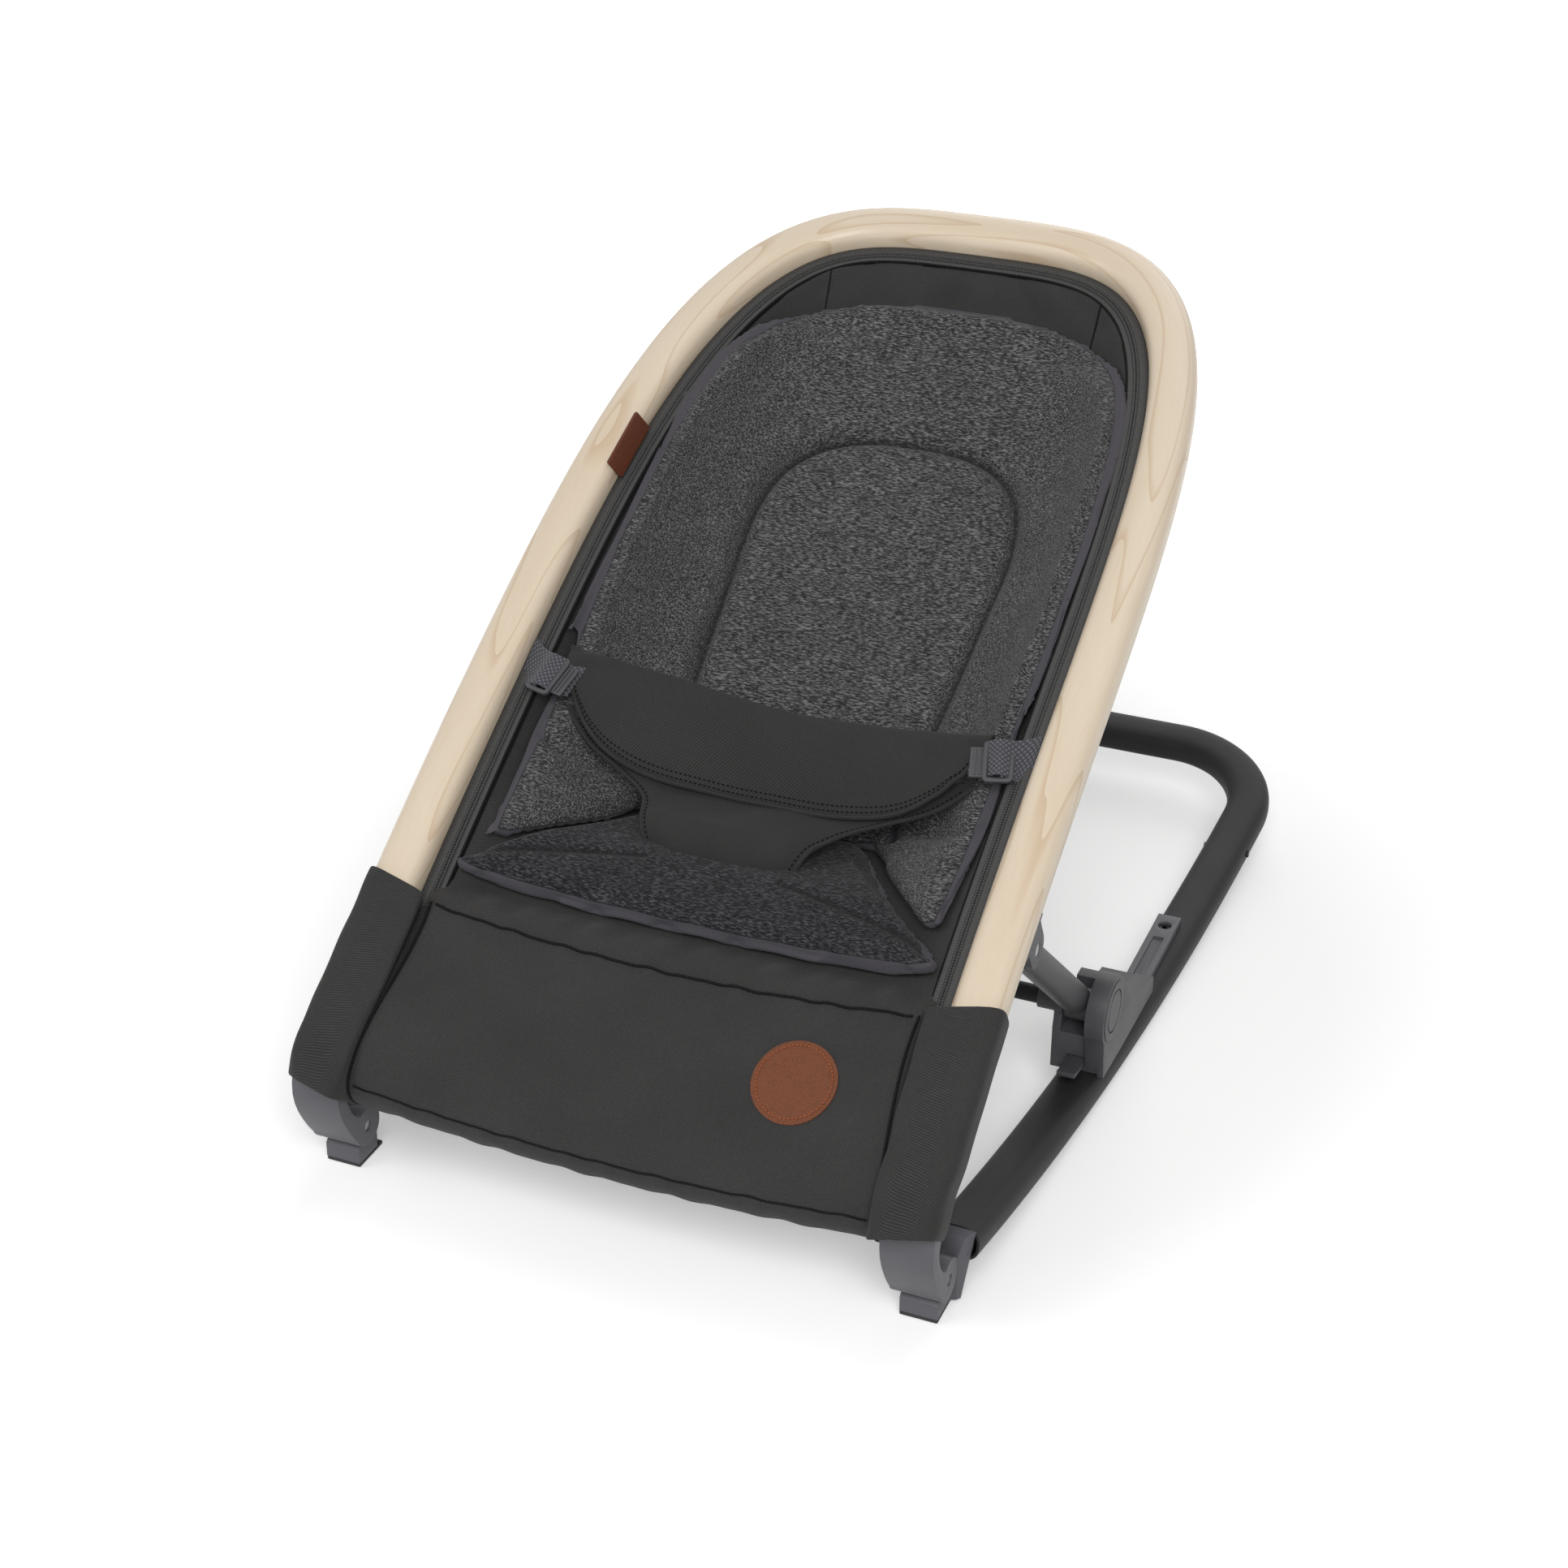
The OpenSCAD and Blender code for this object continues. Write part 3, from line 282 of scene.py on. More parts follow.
def sweep(bm, section, frames, caps=True):
    """Draws a closed section once and extrudes it from frame to frame."""
    lay = lay_layer(bm)
    ring = bmesh.ops.create_circle(bm, segments=len(section), radius=1)["verts"]
    edges = list({e for v in ring for e in v.link_edges})
    for vert, (across, up) in zip(ring, section):
        vert.co = frames[0][0] @ Vector((across, up, 0))
        vert[lay] = (across, up, frames[0][1])
    first, before = edges, frames[0][0]
    for place, length in frames[1:]:
        grown = bmesh.ops.extrude_edge_only(bm, edges=edges)["geom"]
        verts = [g for g in grown if isinstance(g, bmesh.types.BMVert)]
        edges = [g for g in grown if isinstance(g, bmesh.types.BMEdge)]
        bmesh.ops.transform(bm, matrix=place @ before.inverted(), verts=verts)
        for vert in verts:
            vert[lay] = (vert[lay][0], vert[lay][1], length)
        before = place
    if caps:
        bmesh.ops.contextual_create(bm, geom=first)
        bmesh.ops.contextual_create(bm, geom=edges)


def signed_power(value, power):
    return (1 if value > 0 else -1) * abs(value) ** power


def oval(wide, high, squareness, sides):
    """Points round a squarish oval."""
    power = 2 / squareness
    turns = [2 * pi * (i + 0.5) / sides for i in range(sides)]
    return [(wide / 2 * signed_power(cos(a), power), high / 2 * signed_power(sin(a), power)) for a in turns]


def blend_between(a, b, t):
    return a + (b - a) * t


def bell(t):
    return 2.718 ** (-(t**2))


def soft_step(a, b, x):
    t = min(1.0, max(0.0, (x - a) / (b - a)))
    return t * t * (3 - 2 * t)


def level(table, x):
    """Straight lines between the rows of a table, level past its ends."""
    if x <= table[0][0]:
        return table[0][1]
    for (x0, y0), (x1, y1) in zip(table, table[1:]):
        if x <= x1:
            return blend_between(y0, y1, (x - x0) / (x1 - x0))
    return table[-1][1]


def curve_level(table, x):
    """A smooth curve through the rows of a table."""
    if x <= table[0][0]:
        return table[0][1]
    if x >= table[-1][0]:
        return table[-1][1]
    k = next(i for i in range(len(table) - 1) if x <= table[i + 1][0])
    slope = []
    for i in (k, k + 1):
        a, b = table[max(i - 1, 0)], table[min(i + 1, len(table) - 1)]
        slope.append((b[1] - a[1]) / (b[0] - a[0]))
    (x0, y0), (x1, y1) = table[k], table[k + 1]
    h = x1 - x0
    t = (x - x0) / h
    return (
        y0 * (2 * t**3 - 3 * t**2 + 1)
        + h * slope[0] * (t**3 - 2 * t**2 + t)
        + y1 * (-2 * t**3 + 3 * t**2)
        + h * slope[1] * (t**3 - t**2)
    )


def columns_at(table, t):
    """Each column of a table as a smooth curve, its rows spread evenly from 0 to 1."""
    last = len(table) - 1
    return [curve_level([(i / last, value) for i, value in enumerate(column)], t) for column in zip(*table)]


# ---- the seat's arch
FRAME_RISE = 57.5
ARCH_HALF = 178
ARCH_STRAIGHT = 276
ARCH_CAP = 410
ARCH_SQUARE = 3.55
ARCH_W = 30
ARCH_T = 24
WOOD_START = 97
ARCH_LEN = ARCH_STRAIGHT + ARCH_CAP
BOW_FROM = 32
BOW_RISE = 19.4


def bow(s):
    """How far the arch's sides rise above a straight line."""
    return 0 if s < BOW_FROM else BOW_RISE * 4 * (s - BOW_FROM) * (ARCH_LEN - s) / (ARCH_LEN - BOW_FROM) ** 2


def bow_slope(s):
    return 0 if s < BOW_FROM else BOW_RISE * 4 * (ARCH_LEN + BOW_FROM - 2 * s) / (ARCH_LEN - BOW_FROM) ** 2


def half_width(inset, s):
    """Half the width inside the arch's centre line at s."""
    w, h = ARCH_HALF - inset, ARCH_CAP - inset
    if s <= ARCH_STRAIGHT:
        return w
    return w * max(0.0, 1 - ((s - ARCH_STRAIGHT) / h) ** ARCH_SQUARE) ** (1 / ARCH_SQUARE)


def arch_plan(inset, start, straight_steps, turns):
    """The arch's centre line moved squarely inwards, from the right arm round to the left."""
    w, h, p = ARCH_HALF, ARCH_CAP, ARCH_SQUARE
    length = ARCH_STRAIGHT - start
    right = [(w - inset, start + length * i / straight_steps) for i in range(straight_steps)]
    top = []
    for i in range(turns + 1):
        a = pi * i / turns
        r = (abs(cos(a) / w) ** p + abs(sin(a) / h) ** p) ** (-1 / p)
        x, s = r * cos(a), r * sin(a)
        across, along = signed_power(x / w, p - 1) / w, abs(s / h) ** (p - 1) / h
        size = hypot(across, along)
        top.append((x - inset * across / size, ARCH_STRAIGHT + s - inset * along / size))
    return right + top + [(-x, s) for x, s in reversed(right)]


def on_arch(plan, lift=0):
    """Points and up directions of a line that lies on the arch's bow."""
    points = [Vector((x, s, FRAME_RISE + bow(s) + lift)) for x, s in plan]
    return along_path(points, [Vector((0, -bow_slope(s), 1)) for x, s in plan])


bm = bmesh.new()
sweep(bm, oval(ARCH_W, ARCH_T, 2.7, 32), on_arch(arch_plan(0, WOOD_START, 24, 150)))
weld(bm)
finish_piece("bent_wood_arch", bm, "seat", "maple", wood, sharp=60, stands_for=["wood_arch"])


# ---- the base tube
TUBE_W, TUBE_H, TUBE_WALL = 29, 20, 1.5
RAIL_HALF, RAIL_TOE, CORNER_R = 212, radians(2.7), 66
TUBE_FRONT, BASE_LEN = 41, 637
ROCKER_R, ROCKER_Y = 1611, 322
ROCKER_Z = TUBE_H / 2 + ROCKER_R
CORNER_START = BASE_LEN - CORNER_R - CORNER_R * sin(RAIL_TOE)


def rail_z(y):
    return ROCKER_Z - sqrt(ROCKER_R**2 - (y - ROCKER_Y) ** 2)


def rail_x(y):
    return RAIL_HALF - CORNER_R + CORNER_R * cos(RAIL_TOE) - (CORNER_START - y) * tan(RAIL_TOE)


RAIL_STEPS, CORNER_STEPS, REAR_STEPS = 48, 24, 8
straight = [TUBE_FRONT + (CORNER_START - TUBE_FRONT) * i / RAIL_STEPS for i in range(RAIL_STEPS)]
half = [(rail_x(y), y) for y in straight]
for i in range(CORNER_STEPS + 1):
    a = -RAIL_TOE + (pi / 2 + RAIL_TOE) * i / CORNER_STEPS
    half.append((RAIL_HALF - CORNER_R + CORNER_R * cos(a), BASE_LEN - CORNER_R + CORNER_R * sin(a)))
rear = [(half[-1][0] * k / REAR_STEPS, BASE_LEN) for k in range(REAR_STEPS - 1, -REAR_STEPS, -1)]
rail_plan = half + rear + [(-x, y) for x, y in reversed(half)]
bm = bmesh.new()
sweep(
    bm,
    oval(TUBE_W, TUBE_H, 2.8, 32),
    along_path(
        [Vector((x, y, rail_z(y))) for x, y in rail_plan],
        [Vector((0, -(y - ROCKER_Y) / ROCKER_R, 1)) for x, y in rail_plan],
    ),
    caps=False,
)
# the slot that each rear stand folds up into, cut in the underside of the rail
STAND_Y, STAND_LEN, STAND_W = 530, 26, 11
SLOT_HALF = STAND_W / 2 + 1
slot_front, slot_rear = STAND_Y - STAND_LEN - 8, STAND_Y + 9
for side, _ in SIDES:
    x = side * rail_x(STAND_Y)
    near = []
    for f in bm.faces:
        c = f.calc_center_median()
        if abs(c.x - x) < 40 and STAND_Y - 80 < c.y < STAND_Y + 45:
            near.append(f)
    for point, axis in (
        ((x - SLOT_HALF, 0, 0), (1, 0, 0)),
        ((x + SLOT_HALF, 0, 0), (1, 0, 0)),
        ((0, slot_front, 0), (0, 1, 0)),
        ((0, slot_rear, 0), (0, 1, 0)),
    ):
        geom = list({g for f in near if f.is_valid for g in (f, *f.edges, *f.verts)})
        cut = bmesh.ops.bisect_plane(bm, geom=geom, plane_co=point, plane_no=axis, dist=1e-4)
        near = [g for g in cut["geom"] if isinstance(g, bmesh.types.BMFace)]
    hole = []
    for f in near:
        c = f.calc_center_median()
        if abs(c.x - x) < SLOT_HALF and slot_front < c.y < slot_rear and c.z < rail_z(STAND_Y):
            hole.append(f)
    bmesh.ops.delete(bm, geom=hole, context="FACES")
weld(bm)
bmesh.ops.solidify(bm, geom=bm.faces, thickness=TUBE_WALL)
finish_piece(
    "oval_base_tube", bm, "base", "tube_paint", tube_coat, place=FLOOR, sharp=50, stands_for=["base_tube"]
)


# ---- mouldings with eased edges
def bevel(bm, edges, size, steps, **more):
    bmesh.ops.bevel(bm, geom=edges, offset=size, affect="EDGES", segments=steps, profile=0.5, material=-1, **more)


def eased(node, name, body, slot, material, edge, steps):
    """A moulding taken from its frame solid, with every corner rounded by edge millimetres."""
    bm = bmesh.new()
    bm.from_mesh(nodes[node].data)
    bmesh.ops.remove_doubles(bm, verts=bm.verts, dist=2e-6)
    bmesh.ops.dissolve_limit(bm, angle_limit=radians(1.2), verts=bm.verts, edges=bm.edges)
    corners = [e for e in bm.edges if len(e.link_faces) == 2 and e.calc_face_angle(0) > radians(28)]
    bevel(bm, corners, edge * MM, steps, clamp_overlap=True)
    bmesh.ops.dissolve_degenerate(bm, dist=1e-6, edges=bm.edges)
    finish_piece(name, bm, body, slot, material, place=Matrix.Identity(4), sharp=38, stands_for=[node])


for _, side in SIDES:
    for node, name, body, slot, finish, edge, steps in (
        ("front_foot", "rocker_foot", "base", "grey_plastic", elbow_nylon, 2.2, 3),
        ("foot_sole", "grip_sole", "base", "rubber", sole_rubber, 0.8, 2),
        ("track", "slider_track", "base", "grey_plastic", elbow_nylon, 0.7, 2),
        ("hub", "slider_hub", "slider", "dark_plastic", hub_nylon, 1.4, 3),
        ("strut_foot", "strut_lower_socket", "struts", "dark_plastic", hub_nylon, 0.9, 2),
        ("strut_head", "strut_upper_eye", "struts", "dark_plastic", hub_nylon, 0.9, 2),
        ("strut_bracket", "strut_fork", "seat", "dark_plastic", hub_nylon, 0.8, 2),
        ("release_lever", "release_tongue", f"release_{side}", "dark_plastic", hub_nylon, 0.7, 2),
        ("rear_stand", "fold_out_stand", f"rear_stand_{side}", "grey_plastic", elbow_nylon, 0.9, 2),
        ("elbow", "arm_elbow", "seat", "grey_plastic", elbow_nylon, 4, 4),
    ):
        eased(f"{node}_{side}", f"{name}_{side}", body, slot, finish, edge, steps)

for finish, plain_nodes in (
    (pin_steel, ("hinge_pins", "strut_pins", "lock_pins", "lock_springs", "bracket_screws")),
    (screw_black, ("stand_pins", "track_screws")),
    (tube_coat, ("arm_tube_left", "arm_tube_right", "cross_bar")),
    (strut_coat_painted_light, ("strut_left", "strut_right")),
    (hub_nylon, ("bar_collars", "hub_caps")),
):
    for node in plain_nodes:
        nodes[node].data.materials.clear()
        nodes[node].data.materials.append(finish)


# ---- cloth finishes
def twill(name, base, light, slant):
    """Polyester twill: fine slanted ribs, drawn a little coarse, over an even matt charcoal."""
    mat, shader = new_material(
        name, base, roughness=0.85, specular_ior_level=0.2, sheen_weight=0.06, sheen_roughness=0.45
    )
    lay = lay_coordinates(mat)
    turned = slanted(mat, lay, slant)
    rib = {"Vector": turned, "Scale": RIB_SCALE / 1.3, "Distortion": 0.6, "Detail": 1, "Detail Scale": 0.4}
    ribs = add(mat, "TexWave", rib, bands_direction="X").outputs["Fac"]
    yarn = noise(mat, stretched(mat, turned, (1, 0.35, 1)), 1.1, 3, 0.6)
    height = reckon(mat, "MULTIPLY", ribs, yarn)
    cloth = mix(mat, spread(mat, height, 0.05, 0.6, 0.0, 0.85), base, light)
    join(mat, clouded(mat, cloth, lay, 0.018, 3, 0.55), shader, "Base Color")
    emboss(mat, shader, height, 0.35, 0.0005)
    return mat


def heather_knit(name, dark, middle, light):
    """Double jersey of mixed grey yarns: short light and dark dashes across it, and a smooth underside."""
    mat, shader = new_material(
        name, middle, roughness=0.93, specular_ior_level=0.2, sheen_weight=0.06, sheen_roughness=0.5
    )
    where = seat_coordinates(mat)
    dash = noise(mat, stretched(mat, where, (0.3, 1.2, 1.2)), 1.05, 4, 0.62)
    ramp = add(mat, "ValToRGB", {"Fac": dash})
    stops = ramp.color_ramp.elements
    stops[0].position, stops[0].color = 0.39, colour(dark)
    stops[1].position, stops[1].color = 0.64, colour(light)
    stops.new(0.5).color = colour(middle)
    knit = clouded(mat, ramp.outputs["Color"], where, 0.05)
    smooth = mix(mat, noise(mat, where, 0.9, 2), "#48464b", "#56545a")
    # the side attribute is 0 at the sewn edge, positive on the knit and negative on the smooth underside
    side = add(mat, "Attribute", attribute_name="side").outputs["Fac"]
    on_top = reckon(mat, "GREATER_THAN", side)
    edge_line = spread(mat, reckon(mat, "ABSOLUTE", side), 0.0, 0.7, 0.75, 0.0)
    # the channel attribute is the distance to a quilted line
    channel = add(mat, "Attribute", attribute_name="channel").outputs["Fac"]
    groove_painted_shade = spread(mat, channel, 0.6, 3.0, 0.8, 0.0)
    # the knit is drawn near black along its sewn edge and into each quilted groove: painted shade in those creases
    dark_line = reckon(mat, "MAXIMUM", edge_line, groove_painted_shade)
    knit_with_seam_shade = mix(mat, dark_line, mix(mat, on_top, smooth, knit), "#19191a")
    join(mat, knit_with_seam_shade, shader, "Base Color")
    loop = {"Vector": where, "Scale": 0.62, "Randomness": 0.85}
    loops = add(mat, "TexVoronoi", loop).outputs["Distance"]
    height = reckon(mat, "ADD", loops, dash)
    emboss(mat, shader, height, reckon(mat, "MULTIPLY", on_top, 0.5), 0.0008)
    return mat


def wave(mat, where, width, direction):
    ribs = {"Vector": where, "Scale": RIB_SCALE / width}
    return add(mat, "TexWave", ribs, bands_direction=direction).outputs["Fac"]


def woven(mat, shader, weave, fuzz_scale, low, high, dark, light, strength):
    """Colours and raises a weave, roughened by stray fibres."""
    fuzz = noise(mat, lay_coordinates(mat), fuzz_scale, 3)
    height = reckon(mat, "MULTIPLY", weave, fuzz)
    join(mat, mix(mat, spread(mat, height, low, high), dark, light), shader, "Base Color")
    emboss(mat, shader, height, strength, 0.0008)
    return mat


def woven_band(name, dark, light, rib):
    """Woven polyester band: two sets of ribs that cross at a slant."""
    mat, shader = new_material(name, dark, roughness=0.78, sheen_weight=0.15, sheen_roughness=0.4)
    where = slanted(mat, lay_coordinates(mat), 45)
    weave = reckon(mat, "MULTIPLY", *(wave(mat, where, rib, direction) for direction in "XY"))
    return woven(mat, shader, weave, 1.6, 0.03, 0.4, dark, light, 0.6)


def ribbed_tape(name, dark, light, pitch, strength, gloss=0.5):
    """A tape, coil or thread with ribs square across it at one pitch."""
    mat, shader = new_material(name, dark, roughness=0.66, specular_ior_level=gloss)
    ribs = wave(mat, lay_coordinates(mat), pitch, "Z")
    return woven(mat, shader, ribs, 1.3, 0.05, 0.6, dark, light, strength)


def leather(name, base, dark, pale):
    """Vegetable-tanned hide: pores and fine creases, darker in the hollows, a waxed satin surface."""
    mat, shader = new_material(
        name, base, roughness=0.6, specular_ior_level=0.25, coat_weight=0.04, coat_roughness=0.4
    )
    where = object_coordinates(mat)
    pore = {"Vector": where, "Scale": 1000 / 1.1}
    pores = add(mat, "TexVoronoi", pore, feature="DISTANCE_TO_EDGE").outputs["Distance"]
    creases = noise(mat, where, 1000 / 5, 5, 0.65)
    hollow = spread(mat, pores, 0.0, 0.16, 0.65, 0.0)
    join(mat, mix(mat, hollow, mix(mat, creases, base, pale), dark), shader, "Base Color")
    emboss(mat, shader, reckon(mat, "ADD", pores, creases), 0.4, 0.0005)
    return mat


shell_cloth = twill("polyester_twill_charcoal", "#2e2d2d", "#474645", 62)
harness_cloth = twill("polyester_twill_harness", "#292929", "#3e3d3c", 25)
liner_cloth = heather_knit("heather_jersey", "#202022", "#434344", "#818182")
# a darker copy of the liner's knit for the seat flap: painted shade on the flap
flap_knit_painted_shade = heather_knit("heather_jersey_painted_shade", "#131314", "#27272a", "#525254")
belt_web = woven_band("polyester_webbing_grey", "#333339", "#696970", 2.4)
zip_cloth = ribbed_tape("zip_tape_woven", "#2b2b2b", "#444342", 1.5, 0.4)
zip_coil = ribbed_tape("zip_coil_nylon", "#161616", "#4a4a4a", 1.7, 1.0)
# near-black thread for the stitches, also used for seam cords, darts, piping and the strip under the zip: dark
# thread, and painted shade in those creases and gaps
thread_and_crease_shade = ribbed_tape("dark_thread_and_painted_crease_shade", "#0c0c0c", "#1e1e1e", 1.6, 0.8, gloss=0.1)
orange_thread = ribbed_tape("waxed_thread_orange", "#a34f22", "#d07a40", 1.0, 0.5)
badge_hide = leather("leather_tan", "#6e3f27", "#4b2815", "#7f4b31")
tag_hide = leather("leather_dark_brown", "#5a2c1a", "#3a1a0e", "#6c3a24")


# ---- the sling under the liner
BAND_IN = ARCH_W / 2 + 12.3
SLING_LEVEL = [
    (109, 8), (135, -6), (177, -19), (214, -44), (240, -58), (322, -62), (433, -58), (533, -48), (600, -33),
    (655, -5),
]


def sling_n(x, s):
    """Level of the sling's upper face: a hammock that climbs steeply at its sides."""
    u = min(1.0, abs(x) / max(half_width(BAND_IN, s), 1))
    deep = FRAME_RISE + bow(s) * 0.4 + level(SLING_LEVEL, s)
    return deep + (FRAME_RISE + bow(s) - 4 - deep) * u**5


def cloth_grid(columns, rows, place, flat):
    """A sheet laid by place(u, v): u across from -1 to 1, v along from 0 to 1. Its grain is flat[0] x flat[1] mm."""
    bm = bmesh.new()
    bmesh.ops.create_grid(bm, x_segments=columns, y_segments=rows, size=1)
    lay = lay_layer(bm)
    for vert in bm.verts:
        u, v = vert.co.x, (vert.co.y + 1) / 2
        vert[lay] = (u * flat[0], v * flat[1], 0)
        vert.co = place(u, v)
    bm.normal_update()
    if sum(f.normal.z * f.calc_area() for f in bm.faces) < 0:
        bmesh.ops.reverse_faces(bm, faces=bm.faces)
    return bm


def ripple(x, s, waves):
    """Small folds: each wave is its height, length, slant in degrees and start."""
    return sum(h * sin(2 * pi * (x * cos(radians(a)) + s * sin(radians(a))) / w + p) for h, w, a, p in waves)


def cloth_piece(name, bm, slot, material, stands_for, thickness, offset=-1.0):
    """A sheet on the seat, with its cloth's thickness in millimetres and a soft edge."""
    piece = finish_piece(name, bm, "seat", slot, material, sharp=SMOOTH, stands_for=stands_for)
    solid = piece.modifiers.new("cloth", "SOLIDIFY")
    solid.thickness = thickness * MM
    solid.offset = offset
    solid.use_even_offset = True
    soft = piece.modifiers.new("soft", "SUBSURF")
    soft.levels = soft.render_levels = 1
    return piece


SLING_TO = 658.6


def seam_line(u):
    """Where the sling is gathered to the front panel."""
    return 113 - 7.5 * (1 - u * u), 72.3 - 2.5 * (1 - u * u)


def sling_point(u, v):
    seam_s, seam_n = seam_line(u)
    s = blend_between(seam_s - 7, SLING_TO, v)
    x = u * half_width(BAND_IN - 4.5, s)
    front = 1 - soft_step(seam_s, 138, s)
    n = blend_between(sling_n(x, s), seam_n, front)
    n += front * (1 - front) * 4 * ripple(x, s, [(1.3, 33, 24, 0.5), (0.9, 21, -18, 1.7), (0.6, 58, 8, 0.4)])
    n -= 3.5 * (1 - soft_step(seam_s - 7, seam_s + 1, s))
    head = soft_step(632, SLING_TO, s)
    n = blend_between(n, FRAME_RISE + bow(s) - 4.5, head * head)
    loose = soft_step(600, 640, s) * (1 - soft_step(644, SLING_TO - 2, s)) * (1 - u**4)
    n += loose * ripple(x, s, [(1.5, 46, 35, 0.4), (0.9, 29, 140, 1.9)])
    beside_zip = soft_step(0.8, 0.9, abs(u)) * (1 - soft_step(0.93, 1, abs(u)))
    n += 0.35 * ripple(x, s, [(1, 31, 82, 0.6)]) * beside_zip
    # the edge is sewn in under the zip's tape
    n -= 3.4 * soft_step(0.965, 0.99, abs(u)) * (1 - head)
    return Vector((x, s, n))


bm = cloth_grid(96, 120, sling_point, (178, 560))
sling = cloth_piece("sling_shell", bm, "twill", shell_cloth, ["sling_seat", "sling_back"], 1.6)


# ---- zip and tapes round the inside of the arch
ZIP_FROM = 112


def round_the_arch(name, slot, material, inset, lift, wide, high, sides=10, tilt=0.0):
    """A strip that follows the inside of the arch, inset from the wood and lifted off its middle."""
    bm = bmesh.new()
    frames = on_arch(arch_plan(ARCH_W / 2 + inset, ZIP_FROM, 40, 150), lift)
    turn = Matrix.Rotation(radians(tilt), 4, "Z")
    sweep(bm, oval(wide, high, 2.4, sides), [(place @ turn, length) for place, length in frames])
    weld(bm)
    return finish_piece(name, bm, "seat", slot, material, sharp=70)


outer_tape = round_the_arch("zip_tape_outer", "zip_tape", zip_cloth, 3.0, -2.8, 6.8, 1.8, tilt=-8)
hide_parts("zip_band")
# a near-black strip under the zip's tapes that shows in the gaps beside the wood and between tapes and teeth: painted
# shade
round_the_arch("zip_gap_painted_shade", "zip_tape", thread_and_crease_shade, 7.4, -5.2, 15.5, 1.4)
round_the_arch("zip_teeth_outer", "zip_tape", zip_coil, 6.9, -2.6, 1.9, 2.0, sides=8)
round_the_arch("zip_teeth_inner", "zip_tape", zip_coil, 8.9, -2.9, 1.9, 2.0, sides=8)
round_the_arch("zip_tape_inner", "zip_tape", zip_cloth, 11.0, -3.6, 4.6, 1.8, tilt=-12)
# the piping is a real cord, drawn near black as painted shade along the sling's edge
round_the_arch("shell_piping", "twill", thread_and_crease_shade, 13.4, -4.2, 1.8, 2.2, sides=8)


# ---- the padded liner
PRESSURE = 4.0
CLOTH_FRAMES = 20
UNDERSIDE_SHARE = 0.3  # the underside lies on the sling and moves less


def relax(bm, factor):
    bmesh.ops.smooth_vert(bm, verts=bm.verts, factor=factor, use_axis_x=True, use_axis_y=True, use_axis_z=True)


def inflate(bm, voxel, cap):
    """Remeshes a closed pad evenly and blows it up as cloth. No point moves by more than cap millimetres."""
    bm.transform(Matrix.Scale(MM, 4))
    form = mesh_object("pad_form", bm)
    scene = bpy.context.scene
    even = form.modifiers.new("even", "REMESH")
    even.mode = "VOXEL"
    even.voxel_size = voxel * MM
    form.data = bpy.data.meshes.new_from_object(form.evaluated_get(bpy.context.evaluated_depsgraph_get()))
    form.modifiers.clear()
    start = [v.co.copy() for v in form.data.vertices]
    facing = [v.normal.z for v in form.data.vertices]
    blown = start
    settings = form.modifiers.new("cloth", "CLOTH").settings
    settings.quality = 4
    settings.mass = 0.25
    settings.tension_stiffness = settings.compression_stiffness = 12
    settings.shear_stiffness = 5
    settings.bending_stiffness = 0.4
    settings.use_pressure = True
    settings.uniform_pressure_force = PRESSURE
    settings.effector_weights.gravity = 0
    for moment in range(1, CLOTH_FRAMES + 1):
        scene.frame_set(moment)
    simulated = form.evaluated_get(bpy.context.evaluated_depsgraph_get()).to_mesh()
    blown = [v.co.copy() for v in simulated.vertices]
    form.modifiers.clear()
    scene.frame_set(1)
    out = bmesh.new()
    out.from_mesh(form.data)
    for vert, a, b, up in zip(out.verts, start, blown, facing):
        move = b - a
        limit = cap * MM * (1 if up > -0.2 else UNDERSIDE_SHARE)
        if move.length > limit:
            move *= limit / move.length
        vert.co = a + move
    bpy.data.objects.remove(form)
    relax(out, 0.5)
    out.transform(Matrix.Scale(1 / MM, 4))
    bmesh.ops.subdivide_edges(out, edges=out.edges, cuts=1, use_grid_fill=True, smooth=0.6)
    return out


def corner_key(co):
    return tuple(round(c, 4) for c in co)


def extruded(bm):
    """The new points of all the faces, extruded together."""
    grown = bmesh.ops.extrude_face_region(bm, geom=list(bm.faces))["geom"]
    return [item for item in grown if isinstance(item, bmesh.types.BMVert)]


def pad_form(columns, rows, outline, thick, floor_at):
    """A closed pad: a grid on the sling, and the same grid lifted by the pad's crown."""
    bm = bmesh.new()
    bmesh.ops.create_grid(bm, x_segments=columns, y_segments=rows, size=1)
    lifts = {}
    for vert in bm.verts:
        u, v = vert.co.x, (vert.co.y + 1) / 2
        x, s = outline(u, v)
        vert.co = Vector((x, s, floor_at(x, s)))
        lifts[corner_key(vert.co)] = thick(u, v)
    for vert in extruded(bm):
        vert.co.z += lifts[corner_key(vert.co)]
    face_out(bm)
    return bm


def sewn_side(bm, seam_at, channel_at):
    """Marks each point's height above the sewn edge, and its distance from the nearest quilted line."""
    side = bm.verts.layers.float.new("side")
    channel = bm.verts.layers.float.new("channel")
    for vert in bm.verts:
        x, s, n = vert.co
        vert[side] = n - seam_at(x, s)
        vert[channel] = channel_at(x, s)


def press_channel(bm, distance, depth, wide, from_s=0):
    """Sinks a sewn channel where distance(x, s) is near 0 on the upper side."""
    bm.normal_update()
    for vert in bm.verts:
        if vert.normal.z < 0.15 or vert.co.y <= from_s:
            continue
        d = distance(vert.co.x, vert.co.y)
        if d < wide * 2.5:
            vert.co.z -= depth * bell(d / wide)


